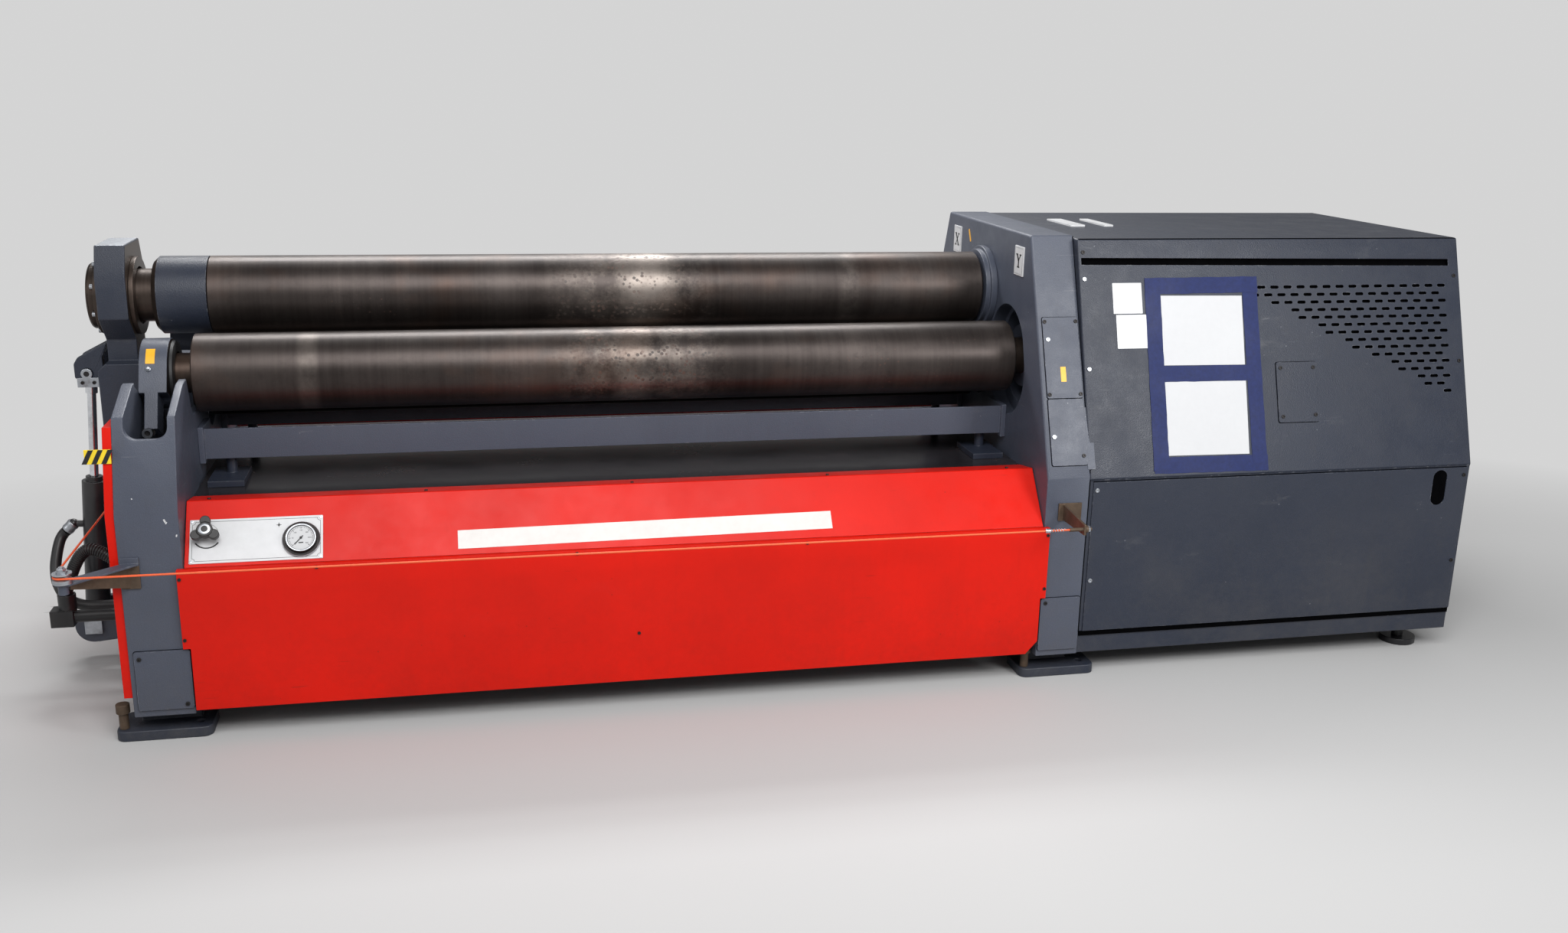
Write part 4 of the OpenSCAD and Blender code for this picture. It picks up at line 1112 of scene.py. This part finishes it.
# %% Seal round the dial
seal = [(13.6, 30.6), (16.2, 30.6), (16.2, 31.2), (13.6, 31.2), (13.6, 30.6)]
piece("gauge_seal", turned(seal, gauge_foot), "black_rubber")
print("seal in the bezel")

# %% Knob centre
knob_face = on(cover_slope, knob_x, knob_s, 2.3)
ring = [(36, 8), (36, 14), (38.6, 13.4), (39.4, 12), (39.4, 8), (36, 8)]
cap = [(36, 0), (36, 8.4), (38.8, 8), (39.2, 0)]
piece("knob_ring", turned(ring, knob_face, 40), "machined_steel", "knob")
piece("knob_cap", turned(cap, knob_face, 40), "black_plastic", "knob")
print("knob has a ring and a cap")

# %% [markdown]
# ## Front and rear covers
# The covers are thin folded sheets held by small round-headed screws along their top and side edges. A long
# white strip runs along the upper front cover; it is blank.

# %% Cover screws and the white strip
strip_length, strip_rise = 943, 8
strip = bmesh.new()
bmesh.ops.create_cube(strip, size=1.0)
bmesh.ops.scale(strip, vec=Vector((strip_length, 48, 0.8)) * MM, verts=strip.verts)
for vertex in strip.verts:
    vertex.co.y += (strip_rise * MM) * (vertex.co.x / (strip_length * MM))
put(strip, on(cover_slope, 1101.5, 43, 0.4))
piece("white_strip", strip, "white_ink", round_mm=0.2, steps=1)
top_edge = facing(-450, 570.2, up=(0, 1, -0.19))
around = [(-8, 413), (-8, 261), (2156, 416), (2156, 266), (1068, 210), (916, 430), (300, 428), (1500, 428)]
places = spots(cover_front, around) + spots(top_edge, [(x, 0) for x in (51, 557, 1067, 1580, 2078)])
for side, flip in flip_to.items():
    screws = repeat(socket_screw(4.2, 2.6, 1.6), [flip @ place for place in places])
    piece(side + "_cover_screws", screws, "dark_bolt")
print("cover screws on both sides")

# %% [markdown]
# ## Access plates and marks on the drive-end frame
# Small cover plates with rounded corners are screwed to the frame. Under each lies a thin dark plate, a
# painted shadow for the gap that a loose plate always shows. The two markers at the rolls' ends carry the
# letters of the roll they stand for, made from bars.

# %% Plates with a painted shadow gap
plates = {
    "frame_plate_low": (frame_slope, 2214, 121, 100, 178, 4),
    "frame_plate_high": (frame_slope, 2214, 321, 100, 218, 4),
    "cabinet_plate": (cabinet_slope, 2892.5, 219, 121, 166, 4),
    "left_foot_plate": (frame_front, -64, 159, 126, 150, 5),
    "right_foot_plate": (frame_front, 2209.5, 159, 113, 150, 5),
}
shadow = 1.5
for name, (surface, x, s, width, height, thick) in plates.items():
    # The cabinet's plate takes the darker blue-grey, which is painted shade.
    look = "cabinet_paint" if name == "cabinet_plate" else "blue_grey_paint"
    for side in flip_to if name.endswith("foot_plate") else ["front"]:
        body = put(plate(width, height, thick, 5.0, 0.8), flip_to[side] @ on(surface, x, s))
        piece(f"{name}_{side}", body, look)
        # A slightly larger dark plate under each one is a painted shadow in the gap.
        edge = plate(width + 2 * shadow, height + 2 * shadow, 0.5, 6.0)
        piece(f"{name}_{side}_gap", put(edge, flip_to[side] @ on(surface, x, s, -0.1)), "dark_gap")
stands_for("access_plates")

# %% Marker plates with their letters


def letter(bars):
    """A letter from (x0, y0, x1, y1, width) bars, flat on local z = 0."""
    flat = Matrix.Identity(4)
    return gather(*[bar(flat, (x0, y0), (x1, y1), width, 0, 0.3) for x0, y0, x1, y1, width in bars])


letter_x = [(-12, 17, 12, -17, 8.0), (12, 17, -12, -17, 4.4), (-19, 17, -5, 17, 3.6), (6, 17, 18, 17, 3.6),
            (-19, -17, -5, -17, 3.6), (5, -17, 19, -17, 3.6)]
letter_y = [(-12, 17, 0, 0, 8.0), (12, 17, 0, 0, 4.4), (0, 1, 0, -17, 7.6), (-19, 17, -5, 17, 3.6),
            (5, 17, 18, 17, 3.6), (-8, -17, 8, -17, 3.6)]
for name, y, z, bars in (("marker_rear", 243, 1106, letter_x), ("marker_front", -269, 1104, letter_y)):
    piece(name, put(plate(65, 80, 3.4, 2.0, 1.6), on(inner_face, -y, z)), "white_plate")
    left, right, foot, head = -y - 28, -y + 28, z - 35, z + 35
    rim = [bar(inner_face, (left, level), (right, level), 1.2, 3.35) for level in (foot, head)]
    rim += [bar(inner_face, (edge, foot), (edge, head), 1.2, 3.35) for edge in (left, right)]
    piece(name + "_rim", gather(*rim), "machined_steel")
    piece(name + "_letter", put(letter(bars), on(inner_face, -y, z, 3.3)), "black_ink")
sticker = put(plate(9, 40, 0.5, 4.0), on(inner_face, -140, 1128, 0, 28))
piece("orange_sticker", sticker, "label_yellow")
piece("frame_label", put(plate(15, 40, 0.5, 1.0), on(frame_slope, 2213, 276, 4)), "label_yellow")
print("markers and stickers")

# %% Screws on the drive-end frame and the cabinet
plate_top, foot_top = 4, 5
bright = spots(frame_slope, [(2176, 370), (2174, 109)], plate_top)
bright += spots(cabinet_slope, [(2284, 295), (2284, 537)])
bright += spots(panel_front, [(2292, 277), (2292, 531)])
dark = spots(cabinet_slope, [(2943, 155)], plate_top)
dark += spots(frame_slope, [(2170, 418), (2170, 222), (2258, 222)], plate_top)
dark += spots(frame_front, [(2166, 221), (-115, 216)], foot_top)
rear = [flip_to["rear"] @ place for place in bright + dark]
dark += spots(frame_slope, [(2258, 418), (2254, 57)], plate_top)
dark += spots(cabinet_slope, [(2844, 286), (2844, 152), (2943, 286)], plate_top)
dark += spots(cabinet_slope, [(2284, 609), (3405, 537), (3405, 295)])
dark += spots(frame_front, [(-16, 96)], foot_top)
dark += spots(panel_front, [(3404, 531), (3404, 277)])
piece("bright_screws", repeat(socket_screw(6.0, 3.2, 2.2), bright), "machined_steel")
piece("dark_screws", repeat(socket_screw(5.2, 2.8, 2.0), dark), "dark_bolt")
piece("rear_screws", repeat(socket_screw(5.2, 2.8, 2.0), rear), "dark_bolt")
print(len(bright) + len(dark), "screws in front,", len(rear), "behind")

# %% Seams of the drive-end frame as dark strips of painted shade
piece("frame_seam", put(plate(2.2, 640, 0.7, 0), on(frame_slope, 2270, 330)), "dark_gap")
piece("frame_seam_low", put(plate(2.2, 430, 0.7, 0), on(frame_front, 2270, 345)), "dark_gap")
piece("flange_plate", put(plate(22, 166, 1.6, 2.0, 0.5), on(frame_slope, 2275, 103)), "blue_grey_paint")
print("seams and flange plate")

# %% [markdown]
# ## Drive cabinet
# The cabinet is a folded housing, in the darker blue-grey that is painted shade. Its lower panels hang below
# the crease, a long dark slot runs under the top edge, and a triangle of punched vents fills the right-hand
# side. The vents could be a dark pattern in the paint, but a real cut has walls that catch the light. So one
# mesh holds every slot, a Boolean modifier takes it out of the housing, and the faces inside each cut get a
# dark finish as painted shade, as do thin dark plates in the narrow gaps along the crease and over the base.

# %% Cutting tools


def carve(shape, cutter):
    """Cuts one shape out of another and returns the result as a bmesh."""
    target, knife = as_object("target", shape), as_object("knife", cutter)
    cut = target.modifiers.new("cut", "BOOLEAN")
    cut.operation = "DIFFERENCE"
    cut.solver = "EXACT"
    cut.object = knife
    bpy.context.view_layer.update()
    mesh = bpy.data.meshes.new_from_object(target.evaluated_get(bpy.context.evaluated_depsgraph_get()))
    bpy.data.objects.remove(target)
    bpy.data.objects.remove(knife)
    return as_bmesh(mesh)


def obround(length, width, depth):
    """A slot-shaped cutter whose middle is at the origin, standing depth below and above the surface."""
    down = Matrix.Translation((0, 0, -depth * MM))
    return put(plate(length, width, depth * 2, width / 2 - 0.01, steps=5), down)


# %% Cut the vents and the long slot
vents_in_row = [15, 15, 14, 12, 12, 10, 10, 8, 8, 6, 5, 4, 3, 2, 1]
last_vent, top_row, pitch, row_pitch = 3363, 510, 40, 21.3
places = []
for row, count in enumerate(vents_in_row):
    row_end = last_vent - (pitch / 2 if row % 2 else 0)
    row_s = top_row - row_pitch * row
    places += spots(cabinet_slope, [(row_end - pitch * k, row_s) for k in range(count)])
vents = repeat(obround(25, 8.5, 11), places)
slot = put(plate(1112, 19, 24, 2.0), on(cabinet_slope, 2834, 580, -12, -0.5))
shape = clean_copy("cabinet_housing")
soften(shape, 5.0, 3, angle=8.0, clamp=False)
# The housing takes the darker blue-grey, which is painted shade.
housing = stand_in("cabinet_housing", carve(shape, gather(vents, slot)), "cabinet_paint")
print(len(places), "vents cut,", len(housing.data.polygons), "faces")

# %% Painted shade on the floors and walls in the cuts
cuts_from, cuts_to = x_metres(2280), x_metres(3395)
to_slope = cabinet_slope.inverted()


def shaded_in_a_cut(middle, normal):
    """Faces that lie under the sloping front, within the width of the cuts."""
    local = to_slope @ middle
    return -16 * MM < local.z < -1 * MM and cuts_from < middle.x < cuts_to and local.y > 0.15


# The faces inside the cuts take the near-black finish, which is painted shade.
repaint(housing, "dark_gap", shaded_in_a_cut)
print("cuts are dark inside")

# %% Lower panels with their handle slot, and painted shade in the narrow gaps
handle_x, handle_z = 3330, 496
shape = clean_copy("cabinet_panels")
soften(shape, 0.8, 2, clamp=False)
handle = put(plate(102, 44, 14, 21.5, steps=8), on(panel_front, handle_x, handle_z, -7) @ quarter_turn("Z"))
# The panels take the darker blue-grey, which is painted shade.
stand_in("cabinet_panels", carve(shape, handle), "cabinet_paint")
# Near-black plates behind the handle slot, in the crease and over the base are painted shade.
piece("handle_dark", put(plate(48, 106, 0.6, 20), on(panel_back, handle_x, handle_z, -0.1)), "dark_gap")
piece("crease_gap", put(plate(1130, 5, 0.8, 0), on(panel_back, 2846, 556)), "dark_gap")
for side, flip in flip_to.items():
    piece(side + "_base_gap", put(plate(1146, 14, 0.8, 0), flip @ on(panel_back, 2845, 124)), "dark_gap")
print("handle slot and gaps")

# %% [markdown]
# ## Papers and tape
# Two sheets of paper are held by strips of blue cloth tape, torn by hand. The sheets are blank. Each strip
# is a thin plate whose long edges wander a little, so that no two strips look alike. Two bare plates are
# riveted beside the sheets, and two small pads lie on the roof.

# %% Taped sheets


def torn_strip(x0, s0, x1, s1, width, seed):
    """A strip of tape between two places, with slightly wavy edges."""
    length = math.hypot(x1 - x0, s1 - s0)
    strip = bmesh.new()
    bmesh.ops.create_grid(strip, x_segments=24, y_segments=1, size=0.5)
    bmesh.ops.scale(strip, vec=Vector((length, width, 1)) * MM, verts=strip.verts)
    for vertex in strip.verts:
        vertex.co.y += 0.8 * MM * math.sin(vertex.co.x * 91 + seed) * math.sin(vertex.co.x * 37 + seed * 2)
        vertex.co.z = 0.25 * MM * math.sin(vertex.co.x * 63 + seed)
    bmesh.ops.recalc_face_normals(strip, faces=strip.faces)
    bmesh.ops.solidify(strip, geom=strip.faces, thickness=0.35 * MM)
    spin = math.degrees(math.atan2(s1 - s0, x1 - x0))
    return put(strip, on(cabinet_slope, (x0 + x1) / 2, (s0 + s1) / 2, 1.2, spin))


def slope_s(z):
    """The way up the cabinet's slope for a height above the floor."""
    return (z - 560) * 1.0511


sheets = {"sheet_high": (2621, 845, 1025), "sheet_low": (2619, 613, 803)}
for name, (x, z_low, z_high) in sheets.items():
    s0, s1 = slope_s(z_low), slope_s(z_high)
    piece(name, put(plate(240, s1 - s0, 0.5, 0), on(cabinet_slope, x, (s0 + s1) / 2, 0.3, -0.6)), "paper")
top, mid, low = slope_s(1072), slope_s(824), slope_s(569)
tape = [
    (2457, top - 22, 2790, top - 20, 44),
    (2470, mid, 2778, mid - 1, 43),
    (2457, low + 22, 2792, low + 20, 44),
    (2479, top - 4, 2477, low + 6, 45),
    (2766, top - 2, 2768, low + 4, 44),
]
for k, ends_and_width in enumerate(tape):
    strip = torn_strip(*ends_and_width, 1.7 * k)
    lift = cabinet_slope.to_3x3() @ Vector((0, 0, 0.4 * MM * (k % 2)))
    piece(f"tape_{k}", put(strip, Matrix.Translation(lift)), "blue_tape")
print(len(sheets), "sheets under", len(tape), "strips of tape")

# %% Bare plates with rivets, and pads on the roof
rivet_inset = 6
bare_plates = {"bare_plate_high": (2405, 484, 84, 83), "bare_plate_low": (2413, 394, 87, 91)}
for name, (x, s, width, height) in bare_plates.items():
    piece(name, put(plate(width, height, 1.2, 1.5, 0.3), on(cabinet_slope, x, s)), "white_plate")
    half_width, half_height = width / 2 - rivet_inset, height / 2 - rivet_inset
    corners = [(x + dx * half_width, s + ds * half_height) for dx in (-1, 1) for ds in (-1, 1)]
    rivets = repeat(socket_screw(2.6, 1.4, 0.8), spots(cabinet_slope, corners, 1.1))
    piece(name + "_rivets", rivets, "machined_steel")
for name, x, length in (("roof_pad_a", 2407, 46), ("roof_pad_b", 2503, 29)):
    piece(name, put(plate(length, 180, 5, 3, 1), Matrix.Translation(at(x, 34, 1173.8))), "white_plate")
print("bare plates and roof pads")

# %% [markdown]
# ## Ends of the trip wire
# At each eyebolt the wire ends in a loop that is wound back on itself and clamped. A small turned sleeve
# and a short coil stand for the winding.

# %% Wire ends
wire_z, wire_y, anchor = 470, 700, drive_in + 11
coil_radius, coil_length, coil_turn = 3.4, 40, 34
sleeve = [(-66, 0), (-66, 5), (-64, 6), (-54, 6), (-52, 5), (-52, 0)]
nuts = [(45, 0), (45, 8), (47, 9), (53, 9), (55, 8), (55, 0)]
for side, sign in sides:
    start = at(anchor - 52, sign * wire_y, wire_z)
    coil = [start + Vector((t * coil_length, coil_radius * math.cos(t * coil_turn),
                            coil_radius * math.sin(t * coil_turn))) * MM for t in (k / 60 for k in range(61))]
    piece(side + "_wire_coil", tube("coil", coil, 1.3, sides=8), "machined_steel")
    for name, profile, steps, sharp in (("_wire_sleeve", sleeve, 24, 35), ("_eyebolt_nut", nuts, 6, 20)):
        placed = [(anchor + x, radius) for x, radius in profile]
        x_turned(side + name, placed, sign * wire_y, wire_z, "machined_steel", steps=steps, sharp=sharp)
print("wire ends on both sides")

# %% [markdown]
# ## Last pieces of the drop end
# The front upright has lost a few chips of paint. The arms that hold the wire's pulleys each have a welded
# web underneath, and a nut on the pulley's pin. A bright ferrule grips the top of the hose, and black
# stripes cross the yellow guard bars. The web is four corners grown to a plate; the stripes are upright
# plates pushed over sideways, which is simpler than cutting slanted ones.

# %% Chips knocked out of the paint of the drop-end upright
chip_table = [(4, 9, -30, 554, 24), (6, 3, -27, 549, 60), (3, 6, -7, 517, -15), (2.5, 3.5, -96, 610, 40)]
chips = [put(plate(width, height, 0.16, 0.9, steps=2), on(frame_front, x, z, -0.01, spin))
         for width, height, x, z, spin in chip_table]
piece("paint_chips", gather(*chips), "white_plate")
print(len(chips), "chips")

# %% Webs under the arms, and the pulleys' nuts
web_thickness = 7
for side, flip in flip_to.items():
    web = bmesh.new()
    root, tip = at(outer + 24, -570, 0), at(outer - 78, -676, 0)
    corners = [(root, 396), (root, 449.5), (tip, 449.5), (tip, 436)]
    face = web.faces.new([web.verts.new(Vector((p.x, p.y, z * MM))) for p, z in corners])
    grown = bmesh.ops.extrude_face_region(web, geom=[face])["geom"]
    thick = (tip - root).cross(Vector((0, 0, 1))).normalized() * web_thickness * MM
    bmesh.ops.translate(web, vec=thick, verts=[v for v in grown if isinstance(v, bmesh.types.BMVert)])
    piece(side + "_arm_web", put(web, flip), "brown_steel", round_mm=0.8)
nut = [(-1, 0), (-1, 9), (0, 10), (5, 10), (6, 9), (6, 6), (9, 6), (9, 0)]
for side, sign in sides:
    nut_place = Matrix.Translation(at(outer - 91, sign * 682, wire_z + 14))
    piece(side + "_pulley_nut", turned(nut, nut_place, 6), "machined_steel", sharp=20)
print("webs and pulley nuts")

# %% Ferrule of the hose
collar_end, collar_start = hose_line[0], at(outer - 233.5, 0, 387.1)
along_hose = (collar_end - collar_start).to_track_quat("Z", "Y").to_matrix().to_4x4()
ferrule = [(-2, 0), (-2, 14.6), (0, 16), (6, 16), (7, 15.4), (16, 15.4), (17, 16), (22, 16), (24, 15),
           (24, 0)]
ferrule_place = Matrix.Translation(collar_start) @ along_hose
piece("hose_ferrule", turned(ferrule, ferrule_place, 32), "machined_steel", "barrel")
print("ferrule on the hose")

# %% Hazard stripes on the guard bars
bar_z, bar_face_y, stripe_pitch, slant = 703, 530.5, 21, 0.5
for side, sign in sides:
    face = facing(-bar_face_y, 0) if sign < 0 else facing(bar_face_y, 0, right=(-1, 0, 0))
    stripe_x = [outer - 50 + stripe_pitch * k for k in range(3)]
    shape = gather(*[put(plate(11, 33, 0.5, 0), on(face, -sign * x, bar_z)) for x in stripe_x])
    for vertex in shape.verts:
        vertex.co.x += (vertex.co.z - bar_z * MM) * slant
    piece(side + "_hazard_stripes", shape, "black_ink")
print("stripes on both guard bars")

# %% [markdown]
# ## Give everything its finish
# Each CAD node takes the finish of its slot in the record. Each new piece takes the finishes that were
# noted when it was made.

# %% Assign the finishes
for name, made in node.items():
    made.data.materials.clear()
    made.data.materials.append(looks[slot_of[name]])
for name, wanted in looks_of.items():
    slots = bpy.data.objects[name].data.materials
    while len(slots) < len(wanted):
        slots.append(None)
    for index, look in enumerate(wanted):
        slots[index] = looks[look]
print("finished", len(looks_of), "pieces and", len(node), "CAD nodes")

# %% [markdown]
# ## Floor and light
# A plain pale floor lies under the machine. Far out its material fades to an even glow as bright as the
# world looks to the camera, so that the floor has no end and no horizon shows. A large soft key stands in
# front and above, a weak lamp lights the drop end from the left, a long strip behind draws the bright line
# along the tops of the rolls, and a small lamp at the right glances over the drive-end frame and the
# cabinet.

# %% Stage
pale = (0.46, 0.46, 0.46)
backdrop = 0.66
fade_from, fade_to = 1.15, 2.4


def studio_floor(name):
    """Pale matt floor that turns into an even glow far away, so that it has no end."""
    material, tree, shader, place = finish(name)
    cloud = noise(tree, place, 1.2, 3.0, 0.5)
    plug(tree, shader, Base_Color=mix(tree, cloud, shade(pale, 0.98), pale), Roughness=0.8,
         Specular_IOR_Level=0.1)
    oval = add(tree, "VectorMath", {"operation": "MULTIPLY"}, i0=place, i1=(0.55, 1.0, 1.0)).outputs["Vector"]
    far = add(tree, "VectorMath", {"operation": "LENGTH"}, i0=oval).outputs["Value"]
    glow = add(tree, "Emission", Color=(1, 1, 1), Strength=backdrop)
    share = ramp(tree, far, fade_from, fade_to)
    blend = add(tree, "MixShader", i0=share, i1=shader.outputs[0], i2=glow.outputs[0])
    end = next(n for n in tree.nodes if n.bl_idname == "ShaderNodeOutputMaterial")
    tree.links.new(blend.outputs[0], end.inputs[0])
    return material


floor_shape = bmesh.new()
bmesh.ops.create_grid(floor_shape, x_segments=1, y_segments=1, size=14.0)
bmesh.ops.translate(floor_shape, verts=floor_shape.verts, vec=(0, 0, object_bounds()[0].z))
floor = as_object("floor", floor_shape)
floor.data.materials.append(studio_floor("floor_pale"))
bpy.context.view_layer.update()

# %% Lamps


def softbox(name, place, target, size, power):
    """A rectangular soft lamp at a place, turned to a target, with its power in watts."""
    data = bpy.data.lights.new(name, "AREA")
    data.shape = "RECTANGLE"
    data.size, data.size_y = size
    data.energy = power
    lamp = bpy.data.objects.new(name, data)
    lamp.location = place
    lamp.rotation_euler = (Vector(target) - Vector(place)).to_track_quat("-Z", "Y").to_euler()
    bpy.context.scene.collection.objects.link(lamp)


softbox("key", (-0.4, -3.4, 3.7), (0.1, 0, 0.6), (3.0, 2.2), 185)
softbox("side", (-4.4, -2.0, 2.4), (-1.0, 0, 0.6), (2.0, 2.0), 32)
softbox("strip", (-0.5, 1.8, 3.0), (-0.5, 0, 1.0), (3.4, 0.5), 125)
softbox("glance", (1.75, -2.65, 1.8), (0.85, -0.45, 0.85), (0.8, 0.8), 38)
world = bpy.data.worlds.new("studio")
bpy.context.scene.world = world
world.use_nodes = True
tree = world.node_tree
camera_ray = add(tree, "LightPath").outputs["Is Camera Ray"]
strength = ramp(tree, camera_ray, 0.0, 1.0, 0.32, backdrop)
plug(tree, tree.nodes["Background"], Color=(1, 1, 1), Strength=strength)
print("four softboxes and a soft world")
